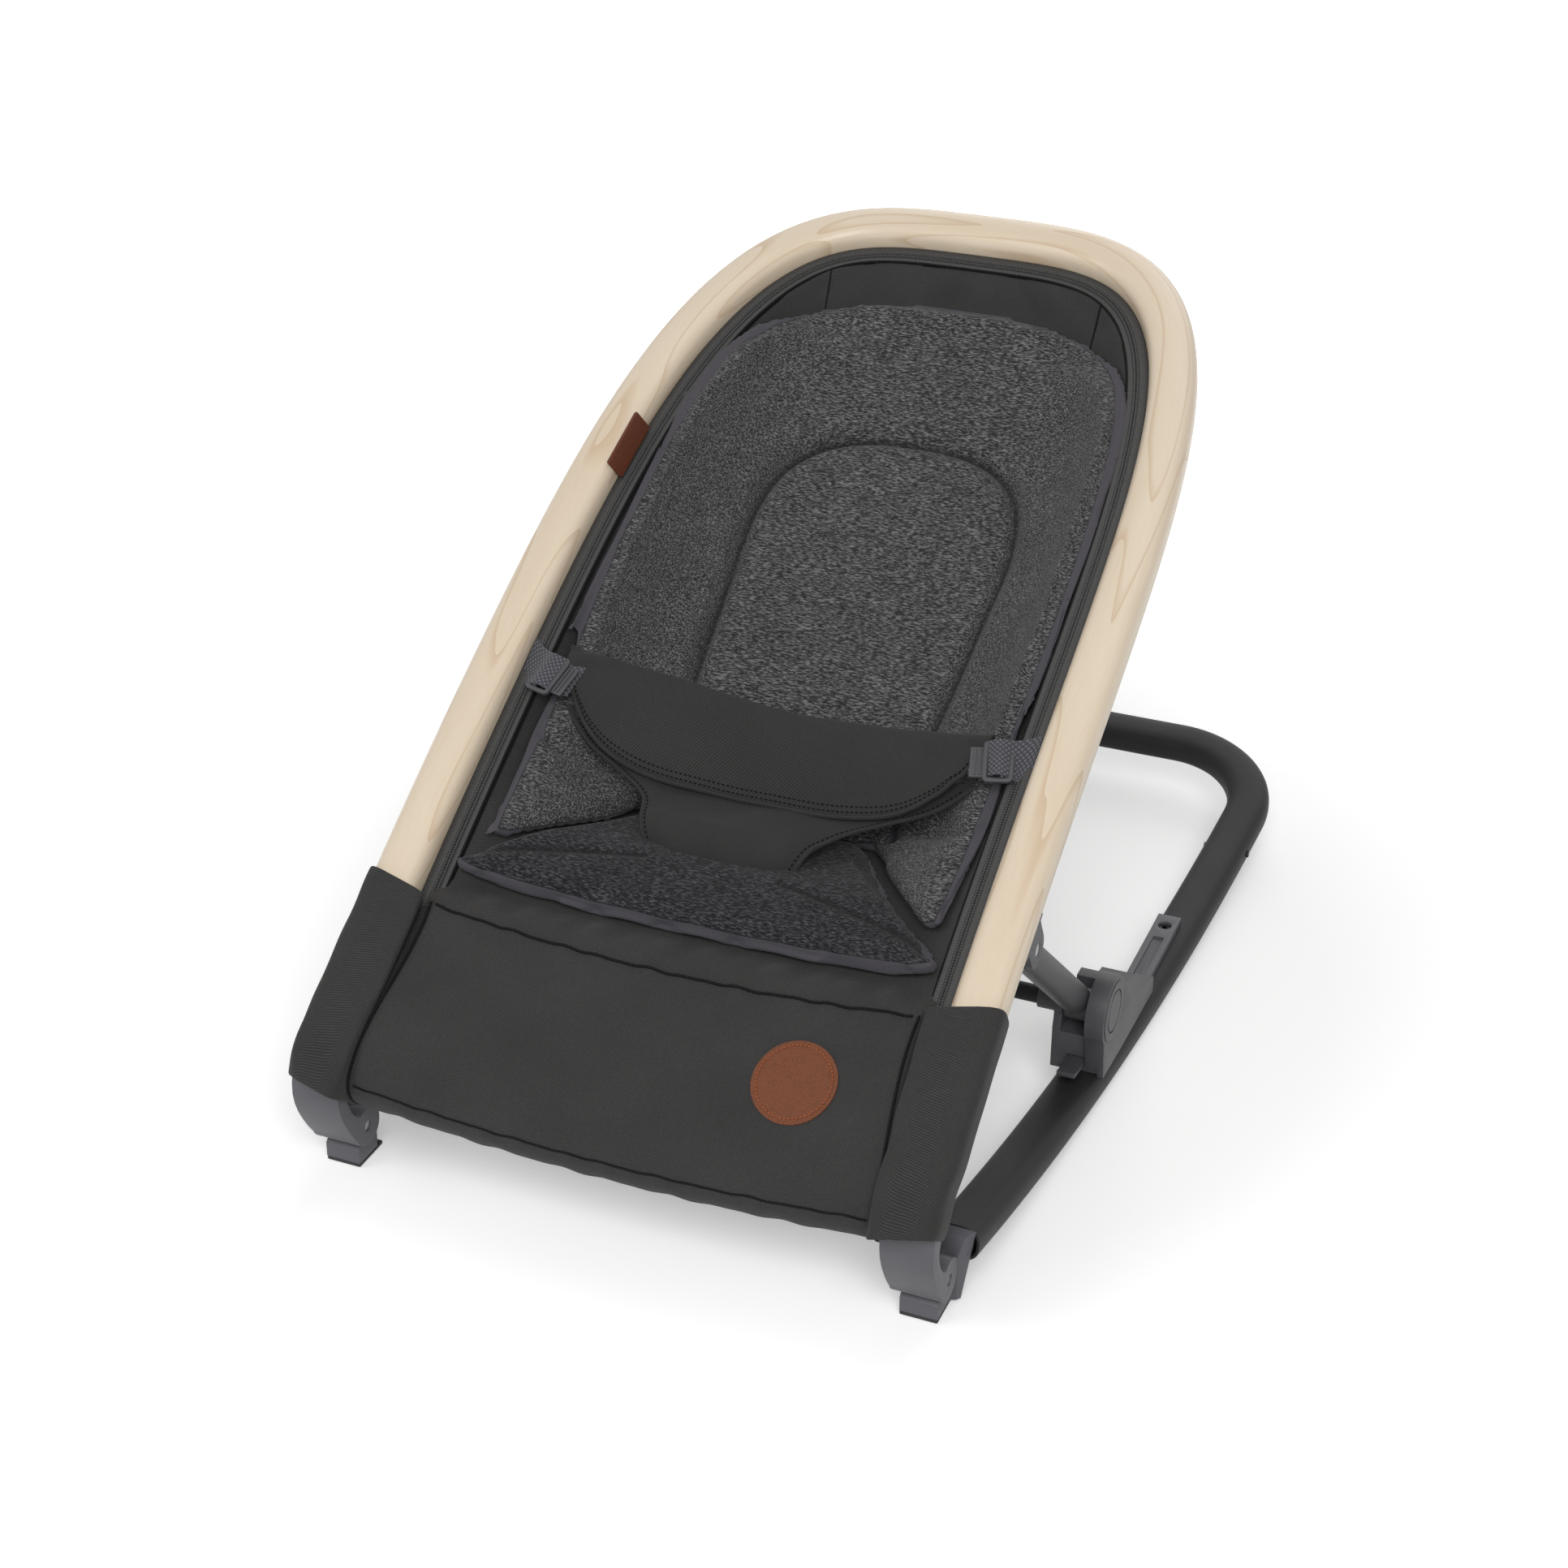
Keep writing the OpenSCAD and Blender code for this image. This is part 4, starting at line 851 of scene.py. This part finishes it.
PAD_T = 13
LINER_FOLD = [(0, 236), (70, 235), (84, 219), (106, 193), (128, 172), (145, 162)]
LINER_SIDE = [(160, 143), (235, 145), (300, 147), (360, 148), (475, 149)]
LINER_TOP = 636
HEAD_FROM = 475  # the liner's sides start to round over here


def liner_half(s):
    """Half width of the back liner, rounded over at the head."""
    if s <= HEAD_FROM:
        return level(LINER_SIDE, s)
    return 148.5 * max(0.0, 1 - ((s - HEAD_FROM) / (LINER_TOP + 0.5 - HEAD_FROM)) ** 2.6) ** (1 / 2.6)


def back_outline(u, v):
    low = level(LINER_FOLD, abs(u) * 143)
    s = blend_between(low, LINER_TOP - 1, 1 - (1 - v) ** 1.15)
    return u * liner_half(s), s


def back_floor(x, s):
    side = min(abs(x) + 3.5, half_width(BAND_IN, s))
    return sling_n(side, s) + 1.2


def back_thick(u, v):
    rim = min(1.0, min(1 - abs(u), v * 3.2, (1 - v) * 3) / 0.12)
    return PAD_T * (0.42 + 0.5 * (1 - (1 - rim) ** 2.2))


HOLLOW_FROM, HOLLOW_ROUND = 240, 440
HOLLOW_SIDE = [(300, 78), (330, 80), (400, 84), (HOLLOW_ROUND, 86.5)]


def inner_arch(x, s):
    """Distance to the seam that outlines the hollow for the back and head."""
    if s < HOLLOW_ROUND:
        return abs(abs(x) - level(HOLLOW_SIDE, s))
    rx, ry = abs(x) / HOLLOW_SIDE[-1][1], (s - HOLLOW_ROUND) / 88
    r = (rx**2.7 + ry**2.7) ** (1 / 2.7)
    return abs(r - 1) * hypot(x, s - HOLLOW_ROUND) / max(r, 0.05)


bm = inflate(pad_form(44, 70, back_outline, back_thick, back_floor), 4.6, 7)
press_channel(bm, inner_arch, 7.0, 4.2, HOLLOW_FROM)
press_channel(bm, lambda x, s: max(0, inner_arch(x, s) - 1), 1.6, 12, HOLLOW_FROM)
relax(bm, 0.35)
sewn_side(bm, lambda x, s: back_floor(x, s) + 6.6, lambda x, s: inner_arch(x, s) if s > HOLLOW_FROM else 9)
back_liner = finish_piece(
    "liner_back", bm, "seat", "knit", liner_cloth, sharp=SMOOTH, stands_for=["pad_back", "pad_lumbar"]
)

FLAP_SIDE = [(133, 132), (135, 143), (139, 149), (144, 150), (157, 142), (168, 130), (191, 106), (218, 84), (240, 66)]
FLAP_FRONT, FLAP_REAR = FLAP_SIDE[0][0], FLAP_SIDE[-1][0]


def flap_outline(u, v):
    front = FLAP_FRONT + 7 * abs(u) ** 3
    s = blend_between(front, FLAP_REAR, v)
    return u * curve_level(FLAP_SIDE, s), s


def flap_floor(x, s):
    rest = sling_n(x, s) + 0.8
    lip = 1 - soft_step(134, 152, s)
    return rest + lip * (2 + 4 * (abs(x) / 150) ** 2) + 0.7 * lip * sin(x / 150 * 21 + 0.5)


def flap_thick(u, v):
    rim = min(1.0, min(1 - abs(u), v * 1.3, (1 - v) * 2) / 0.13)
    front = 0.3 * (1 - soft_step(0, 0.12, v))
    return PAD_T * (0.5 + 0.42 * (1 - (1 - rim) ** 2.2) + front)


def flap_channel(x, s):
    """Distance to the line quilted from each front corner towards the stem."""
    if not 40 < abs(x) < 140:
        return 99
    return abs((s - 137) - 46 * (1 - min(1, abs(abs(x) - 20) / 128)) ** 0.5)


bm = inflate(pad_form(60, 26, flap_outline, flap_thick, flap_floor), 4.2, 6)
press_channel(bm, flap_channel, 1.8, 3)
sewn_side(bm, lambda x, s: flap_floor(x, s) + 9.2 - 3 * soft_step(140, 160, s), flap_channel)
seat_liner = finish_piece("liner_seat_flap", bm, "seat", "knit", flap_knit_painted_shade, sharp=SMOOTH, stands_for=["pad_seat"])


# ---- front panel, sleeves and their seams
def cord_along(name, points, material, wide, high, up=(0, -0.4, 0.9)):
    """A thin cord or seam along a line of points."""
    bm = bmesh.new()
    sweep(bm, oval(wide, high, 2, 8), along_path(points, [Vector(up)] * len(points)))
    weld(bm)
    finish_piece(name, bm, "seat", "twill", material, sharp=60)


def across(place, reach, v, count, lift):
    """Points across a sheet at one height, each moved by lift."""
    return [place(reach * (2 * i / count - 1), v) + Vector(lift) for i in range(count + 1)]


PANEL_SIDE = [
    (113, 72.5), (98, 72), (72, 70.5), (48, 69), (26, 65.5), (12, 60.5), (3, 55), (-1.5, 48.5), (-2.5, 40),
    (0, 31), (5, 22),
]
PANEL_SEAM_AT = 0.78
PANEL_FLAT = 0.97  # the share of the panel's width that isn't turned down


def on_line(line, t):
    """A point a share t along a smooth line through the given points."""
    lengths = [0.0]
    for a, b in zip(line, line[1:]):
        lengths.append(lengths[-1] + hypot(b[0] - a[0], b[1] - a[1]))
    return Vector([curve_level(list(zip(lengths, column)), t * lengths[-1]) for column in zip(*line)])


def panel_half(v):
    return 147.5 + 9 * soft_step(0.1, 0.75, v)


def panel_point(u, v):
    """The front panel: it sags between the sleeves, is rolled under at the toe and turned down at its sides."""
    turned = soft_step(0.955, 1, abs(u))
    out = (1 if u > 0 else -1) * turned
    u = max(-1.0, min(1.0, u / PANEL_FLAT))
    s, n = on_line(PANEL_SIDE, v)
    middle = 1 - u * u
    top = 1 - soft_step(0, 0.55, v)
    toe = soft_step(0.45, 0.82, v)
    s -= 7.5 * middle * (top**0.7) + 6.5 * middle * toe
    n -= 4.5 * middle * sin(pi * min(1, v / 0.9)) + 2.5 * middle * top
    x = u * panel_half(v)
    gather = bell(v / 0.05) + 0.8 * bell((v - PANEL_SEAM_AT) / 0.045)
    n += gather * ripple(x, s, [(0.8, 27, 8, 0.3), (0.6, 17, -14, 1.1), (0.4, 41, 25, 2.2)])
    slack = sin(pi * min(1, v / 0.8)) * (1 - u**4)
    n += 0.8 * ripple(x, s, [(1, 190, 28, 0.5), (0.6, 120, 70, 1.3)]) * slack
    if v > PANEL_SEAM_AT:
        below = (v - PANEL_SEAM_AT) / (1 - PANEL_SEAM_AT)
        n += 1.2 * sin(pi * below) * ripple(x, s, [(0.9, 33, 5, 0.8), (0.6, 21, -9, 2.0)])
    return Vector((x + 13 * out, s, n - 9 * turned))


bm = cloth_grid(128, 72, panel_point, (152, 175))
panel = cloth_piece("front_cover", bm, "twill", shell_cloth, ["front_panel"], 1.6)


def panel_line(v, lift):
    """Points along the panel at one height, lifted off it."""
    return across(panel_point, 0.955, v, 90, (0, -lift * 0.5, lift * 0.87))


# near-black cords on the gathered seam and the toe seam: real seams, drawn dark as painted shade in their creases
cord_along("gathered_seam", panel_line(0.004, 0.7), thread_and_crease_shade, 1.7, 1.5)
cord_along("toe_seam", panel_line(PANEL_SEAM_AT, 0.25), thread_and_crease_shade, 1.3, 1.1, up=(0, -0.8, 0.5))

ARM_LINE = [(-4, 47), (6, 52), (18, 55.2), (34, 57.2), (55, 59.6), (80, 62.6), (104, 65.2), (127, 67.4)]
SLEEVE_INNER = [(-4, 156.5), (20, 154), (50, 150.5), (80, 148.5), (127, 147)]
SLEEVE_OUTER = [(-4, 194), (20, 195.5), (60, 195.5), (100, 194.8), (127, 194.6)]


def sleeve_point(side):
    """A cloth sleeve over the arm's end: loose at the elbow, snug where it meets the wood."""

    def sleeve(u, v):
        s0, n0 = on_line(ARM_LINE, v)
        inner, outer = level(SLEEVE_INNER, s0), level(SLEEVE_OUTER, s0)
        a = pi * (u + 0.25)
        outwards, up = signed_power(cos(a), 0.45), signed_power(sin(a), 0.55)
        # the top face reaches the panel's seam; the inner wall drops beside the arm
        reach = blend_between(level([(-1, 160.5), (0.3, 158), (1, inner)], up), outer, (outwards + 1) / 2)
        loose = 1 - soft_step(0, 0.6, v)
        high = 13.9 + 1.2 * loose
        wave = ripple(s0, a * 14, [(0.55, 34, 24, 0.4 + side), (0.4, 19, 63, 1.2)]) * (0.5 + loose)
        n = n0 + up * (high + wave)
        s = s0 - (n - n0) * bow_slope(max(s0, BOW_FROM + 1)) - (n - n0) * 0.34 * (1 - soft_step(-4, 30, s0))
        x = reach + 0.6 * wave * outwards
        # the hem slants down towards the inner edge
        hem = soft_step(0.75, 1, v)
        s += hem * (-(1 - (x - 147) / 48) * 12.5 - 1.5 * (1 - up) * 0.5)
        s += (1 - soft_step(0, 0.25, v)) * (level([(156, -3), (195, 6)], x) - 1)
        return Vector((side * x, s, n))

    return sleeve


for side, word in SIDES:
    bm = cloth_grid(64, 44, sleeve_point(side), (70, 132))
    weld(bm, 0.01)
    cloth_piece(f"arm_sleeve_{word}", bm, "twill", shell_cloth, [f"sleeve_{word}"], 1.6)
    # a near-black cord where the sleeve meets the panel: a real seam, drawn dark as painted shade in the join
    edge = [panel_point(side * 0.962, i / 60 * 0.98) + Vector((side * 1.6, 0, 0.5)) for i in range(61)]
    cord_along(f"sleeve_seam_{word}", edge, thread_and_crease_shade, 1.6, 1.8)

# the dart at each side of the head, a near-black cord: painted shade in its crease
for side, word in SIDES:
    spots = [(91 + i * 0.1, 598 + i * 2.4) for i in range(19)]
    dart = [Vector((side * x, s, sling_n(x, s) + 0.4)) for x, s in spots]
    cord_along(f"head_dart_{word}", dart, thread_and_crease_shade, 1.0, 0.9)


# ---- harness
WAIST_HALF = 135
DIP_HALF = 134  # half the width over which the harness dips between the arms


def waist_point(u, v):
    """The band over the lap: level above, its lower edge hanging between the buckles."""
    x = WAIST_HALF * sin(u * pi / 2 * 0.94) / sin(pi / 2 * 0.94)
    low = 233 + 56 * min(1, abs(x) / WAIST_HALF) ** 5
    top = 292 + 6 * soft_step(20, -80, x) + 1.5 * (x / WAIST_HALF) ** 2
    s = blend_between(low, top, v)
    n = 66.5 + (s - 291) * 0.2 + 14.5 * (x / DIP_HALF) ** 2 + 3.5 * sin(pi * v) * (1 - (x / DIP_HALF) ** 2)
    n -= 2 * (1 - v) ** 6 + 4 * v**9
    n += 0.7 * ripple(x, s, [(1, 90, 75, 0.3), (0.5, 47, 20, 1.4)])
    # pulled folds where the ends run into the buckles
    n += soft_step(96, 132, abs(x)) * ripple(x, s, [(1.1, 15, 66 if x > 0 else 114, 0.9)])
    return Vector((x, s, n))


bm = cloth_grid(84, 34, waist_point, (134, 62))
waist = cloth_piece("waist_cover", bm, "twill", harness_cloth, ["waist_flap"], 3.2)


def stitched(name, points, slot, material, pitch=3.0, long=2.1, thick=0.55):
    """A row of separate stitches half sunk along a line."""
    bm = bmesh.new()
    frames = along_path(points, [Vector((0, 0, 1))] * len(points))
    k = 0
    for i in range(int(frames[-1][1] / pitch)):
        at = (i + 0.5) * pitch
        while k < len(frames) - 2 and frames[k + 1][1] < at:
            k += 1
        share = (at - frames[k][1]) / max(frames[k + 1][1] - frames[k][1], 1e-6)
        spot = frames[k][0].translation.lerp(frames[k + 1][0].translation, share)
        turn = frames[k][0].to_3x3().to_4x4()
        stretch = Matrix.Diagonal((thick, thick * 0.7, long / 2, 1))
        bmesh.ops.create_icosphere(bm, subdivisions=1, radius=1, matrix=Matrix.Translation(spot) @ turn @ stretch)
    return finish_piece(name, bm, "seat", slot, material, sharp=SMOOTH)


stitched("waist_stitches_outer", across(waist_point, 0.97, 0.035, 120, (0, 0, 0.4)), "twill", thread_and_crease_shade)
stitched("waist_stitches_inner", across(waist_point, 0.97, 0.085, 120, (0, 0, 0.3)), "twill", thread_and_crease_shade)
cord_along("waist_edge_fold", across(waist_point, 0.985, 0.0, 120, (0, 0, -0.6)), harness_cloth, 3.4, 3.6)

# the crotch piece: place up the seat, half width and height, row by row
TEE = [
    (178, 43, 44), (183, 44, 51), (190, 46, 57.5), (198, 50, 62), (207, 54, 63), (215, 58, 59.5), (224, 66, 54.5),
    (236, 87, 49.5), (249, 112, 48.5), (268, 134, 51.5),
]


def tee_point(u, v):
    """The piece between the legs: a stem that dives into the seat and spreads to both buckles."""
    s, w, n = columns_at(TEE, v)
    x = u * w
    stem = 1 - soft_step(0.5, 0.8, v)
    n += 12.5 * (x / DIP_HALF) ** 2 - stem * 9 * abs(u) ** 3.2
    x -= 5 * stem * sin(pi * min(1, v / 0.75))
    n += 0.9 * ripple(x, s, [(1, 52, 62, 0.6), (0.6, 31, 130, 0.2)]) * (1 - u**4)
    s -= 1.2 * (1 - u * u) * stem
    return Vector((x, s, n))


bm = cloth_grid(60, 56, tee_point, (90, 110))
tee = cloth_piece("crotch_cover", bm, "twill", harness_cloth, ["crotch_flap"], 2.2)
for side, word in SIDES:
    shares = [i / 70 for i in range(71)]
    edge = [tee_point(side * 0.985, t * 0.97) + Vector((0, 0, -0.6)) for t in shares]
    cord_along(f"crotch_binding_{word}", edge, harness_cloth, 2.8, 3.2)
    inner = [tee_point(side * (0.925 + 0.035 * t), t * 0.97) + Vector((0, 0, 0.25)) for t in shares]
    stitched(f"crotch_stitches_{word}", inner, "twill", thread_and_crease_shade)


# ---- buckles and side straps
BUCKLE_AT = (142.3, 276)


def rounded_box(bm, centre, size, edge, steps=2):
    place = Matrix.Translation(centre) @ Matrix.Diagonal((*size, 1))
    made = bmesh.ops.create_cube(bm, size=1, matrix=place)["verts"]
    bevel(bm, list({e for v in made for e in v.link_edges}), edge, steps)


def buckle(side):
    """A moulded ladder buckle: a frame with one bar, and a ridged tongue under the waist cover."""
    bm = bmesh.new()
    wide, long, bar = 16.0, 26.0, 2.9
    ring = []
    in_x, in_y = wide / 2 - 2.5, long / 2 - 2.5
    for x, y, start in ((in_x, in_y, 0), (-in_x, in_y, 90), (-in_x, -in_y, 180), (in_x, -in_y, 270)):
        for i in range(5):
            a = radians(start + 22.5 * i)
            ring.append(Vector((x + 2.0 * cos(a), y + 2.0 * sin(a), 0)))
    ring += ring[:2]
    frames = along_path(ring, [Vector((0, 0, 1))] * len(ring))[1:]
    sweep(bm, oval(bar, 3.0, 3.2, 12), frames, caps=False)
    bmesh.ops.remove_doubles(bm, verts=bm.verts, dist=0.02)
    rounded_box(bm, (2.6, 0, 0.6), (2.4, long - 4, 2.4), 0.7)
    rounded_box(bm, (-12, 0, -1.4), (9, 20, 2), 0.7)
    for x in (-13.4, -10.6):
        rounded_box(bm, (x, 0, -0.3), (1.2, 18, 1.8), 0.45)
    face_out(bm)
    tilt = atan(bow_slope(BUCKLE_AT[1]))
    place = (
        Matrix.Translation((*BUCKLE_AT, FRAME_RISE + bow(BUCKLE_AT[1]) + 2.4))
        @ Matrix.Rotation(tilt, 4, "X")
        @ Matrix.Rotation(radians(14), 4, "Z")
        @ Matrix.Rotation(radians(5), 4, "Y")
    )
    bm.transform(place)
    if side < 0:
        bm.transform(Matrix.Diagonal((-1, 1, 1, 1)))
        face_out(bm)
    return bm


def side_web(side):
    """The strap: up through the buckle, over its bar and out to the zip, a little wider as it goes."""
    # across, up the seat, height and half width, row by row
    line = [
        (124, 276, -4.2, 10.6), (130, 276, -3.6, 10.8), (134.5, 276.2, -2.0, 11), (138.5, 276.5, 0.8, 11),
        (142.5, 277, 2.6, 11), (146.5, 278, 0.9, 11.4), (150.5, 279.5, -2.4, 12.6), (154.5, 281.5, -4.4, 14),
        (158.5, 283.5, -5.4, 15.6), (161.8, 284.5, -5.6, 16.5),
    ]
    base = FRAME_RISE + bow(BUCKLE_AT[1]) + 3.6

    def strap(u, v):
        x, s, n, w = columns_at(line, v)
        lean = 0.25 * (1 - soft_step(0.5, 0.9, v))
        return Vector((side * (x - u * w * lean), s + u * w, base + n + 0.12 * u * w))

    bm = cloth_grid(14, 30, strap, (13, 44))
    face_out(bm)
    if bm.faces[:][0].normal.z < 0:
        bmesh.ops.reverse_faces(bm, faces=bm.faces)
    return bm


for side, word in SIDES:
    adjuster = [f"strap_adjuster_{word}"]
    finish_piece(f"ladder_buckle_{word}", buckle(side), "seat", "dark_plastic", hub_nylon, stands_for=adjuster)
    cloth_piece(f"side_webbing_{word}", side_web(side), "webbing", belt_web, [f"side_strap_{word}"], 1.5, offset=0)


# ---- leather badge and tag
def panel_level(x, s):
    """Height of the front cover at a spot, found by walking down the panel."""
    v = 0.05
    for _ in range(40):
        u = PANEL_FLAT * x / panel_half(v)
        v += (panel_point(u, v).y - s) / 190
    return panel_point(u, v).z


BADGE_AT, BADGE_R = (94.5, 60), 24.2
BADGE_RINGS = (0.35, 2.4, 1.1, 3.0, 4.5, 5.5)
bm = bmesh.new()
bmesh.ops.create_circle(bm, cap_ends=True, segments=96, radius=BADGE_R, matrix=Matrix.Translation((*BADGE_AT, 0)))
for ring in BADGE_RINGS:
    middle = max(bm.faces, key=lambda f: len(f.verts))
    bmesh.ops.inset_region(bm, faces=[middle], thickness=ring, use_even_offset=True)
bmesh.ops.triangulate(bm, faces=[f for f in bm.faces if len(f.verts) > 4])
for vert in bm.verts:
    r = hypot(vert.co.x - BADGE_AT[0], vert.co.y - BADGE_AT[1])
    groove = 0.35 * (1 - min(1, abs(r - (BADGE_R - 3.1)) / 0.8))
    vert.co.z = 1.5 - 0.9 * soft_step(BADGE_R - 0.5, BADGE_R, r) - groove
for vert in extruded(bm):
    vert.co.z = -0.2
face_out(bm)
for vert in bm.verts:
    vert.co.z += panel_level(vert.co.x, vert.co.y) + 0.3
finish_piece("round_badge", bm, "seat", "badge_leather", badge_hide, sharp=60, stands_for=["leather_badge"])
ring = []
for i in range(121):
    a = 2 * pi * i / 120
    x, s = BADGE_AT[0] + (BADGE_R - 2.9) * cos(a), BADGE_AT[1] + (BADGE_R - 2.9) * sin(a)
    ring.append(Vector((x, s, panel_level(x, s) + 1.65)))
stitched("badge_stitches", ring, "badge_leather", orange_thread, pitch=2.35, long=1.7, thick=0.42)

bm = bmesh.new()
rounded_box(bm, (0, 0, 0), (2.6, 43, 15), 0.9, 3)
turn = Matrix.Rotation(radians(-3), 4, "Z") @ Matrix.Rotation(radians(-24), 4, "Y")
bm.transform(Matrix.Translation((-159.6, 452, 82.5)) @ turn)
finish_piece("side_tag", bm, "seat", "tag_leather", tag_hide, stands_for=["leather_tag"])


def flattens(names):
    """Gives each named piece its own copy of its mesh."""
    for name in names:
        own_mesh(bpy.data.objects[name])


flattens(["sling_shell", "liner_back", "liner_seat_flap", "crotch_cover"])
flattens([f"crotch_{edge}_{word}" for edge in ("binding", "stitches") for _, word in SIDES])
flattens(["head_dart_left", "head_dart_right"])
flattens(["waist_cover", "waist_stitches_outer", "waist_stitches_inner", "waist_edge_fold"])


# ---- floor, light and camera
def studio_floor():
    bm = bmesh.new()
    bmesh.ops.create_grid(bm, x_segments=1, y_segments=1, size=6)
    floor = mesh_object("studio_floor", bm)
    floor.location = (0, 0, -0.0005)
    mat, shader = new_material("floor_white_paint", "#f4f4f4", roughness=0.9)
    ray = add(mat, "LightPath").outputs
    direct = reckon(mat, "MAXIMUM", ray["Is Camera Ray"], ray["Is Glossy Ray"])
    # lit white away from the object, and less below it so that its shadow stays
    place = {0: object_coordinates(mat)}
    away = add(mat, "VectorMath", place, operation="LENGTH").outputs["Value"]
    lit = spread(mat, away, 0.32, 1.2, 0.31, 1.0)
    glow = add(mat, "Emission", {"Color": (1, 1, 1, 1), "Strength": lit})
    dark = add(mat, "Emission", {"Color": (0, 0, 0, 1), "Strength": 0})
    seen = add(mat, "MixShader", {0: direct, 1: dark.outputs[0], 2: glow.outputs[0]})
    total = add(mat, "AddShader", {0: shader.outputs[0], 1: seen.outputs[0]})
    join(mat, total.outputs[0], mat.node_tree.nodes["Material Output"], "Surface")
    floor.data.materials.append(mat)


def studio_light():
    world = bpy.data.worlds.new("studio")
    bpy.context.scene.world = world
    world.use_nodes = True
    ray = add(world, "LightPath").outputs
    direct = reckon(world, "MAXIMUM", ray["Is Camera Ray"], ray["Is Glossy Ray"])
    either = reckon(world, "MAXIMUM", direct, ray["Is Transmission Ray"])
    background = world.node_tree.nodes["Background"]
    background.inputs["Color"].default_value = (1, 1, 1, 1)
    join(world, spread(world, either, 0.0, 1.0, 0.17, 1.0), background, "Strength")
    for name, place, aim, size, power in (
        ("key_softbox", (1.0, -2.2, 2.1), (0, 0, 0.15), 1.5, 52),
        ("fill_softbox", (-1.7, -1.7, 1.9), (0, 0, 0.2), 1.6, 19),
        ("top_softbox", (0.4, 0.9, 2.6), (0, 0.05, 0.2), 1.8, 7),
        ("sweep_softbox", (-0.1, 2.6, 1.7), (-0.2, 1.5, 0), 2.2, 20),
    ):
        light = bpy.data.lights.new(name, "AREA")
        light.shape = "SQUARE"
        light.size = size
        light.energy = power
        lamp = new_object(name, light)
        lamp.location = place
        lamp.rotation_euler = (Vector(aim) - Vector(place)).to_track_quat("-Z", "Y").to_euler()


def view_camera():
    lens = bpy.data.cameras.new("view")
    lens.lens = 62.12
    lens.sensor_width = 36
    camera = new_object("view", lens)
    turn, rise, roll = radians(22.74), radians(28.6), radians(0.17)
    back = Vector((sin(turn) * cos(rise), -cos(turn) * cos(rise), sin(rise)))
    look = (-back).to_track_quat("-Z", "Y").to_matrix().to_4x4()
    stand = Matrix.Translation((0.55094, -1.386879, 0.94813))
    camera.matrix_world = stand @ look @ Matrix.Rotation(roll, 4, "Z")
    bpy.context.scene.camera = camera


studio_floor()
studio_light()
view_camera()
bpy.context.scene.view_settings.view_transform = "Standard"
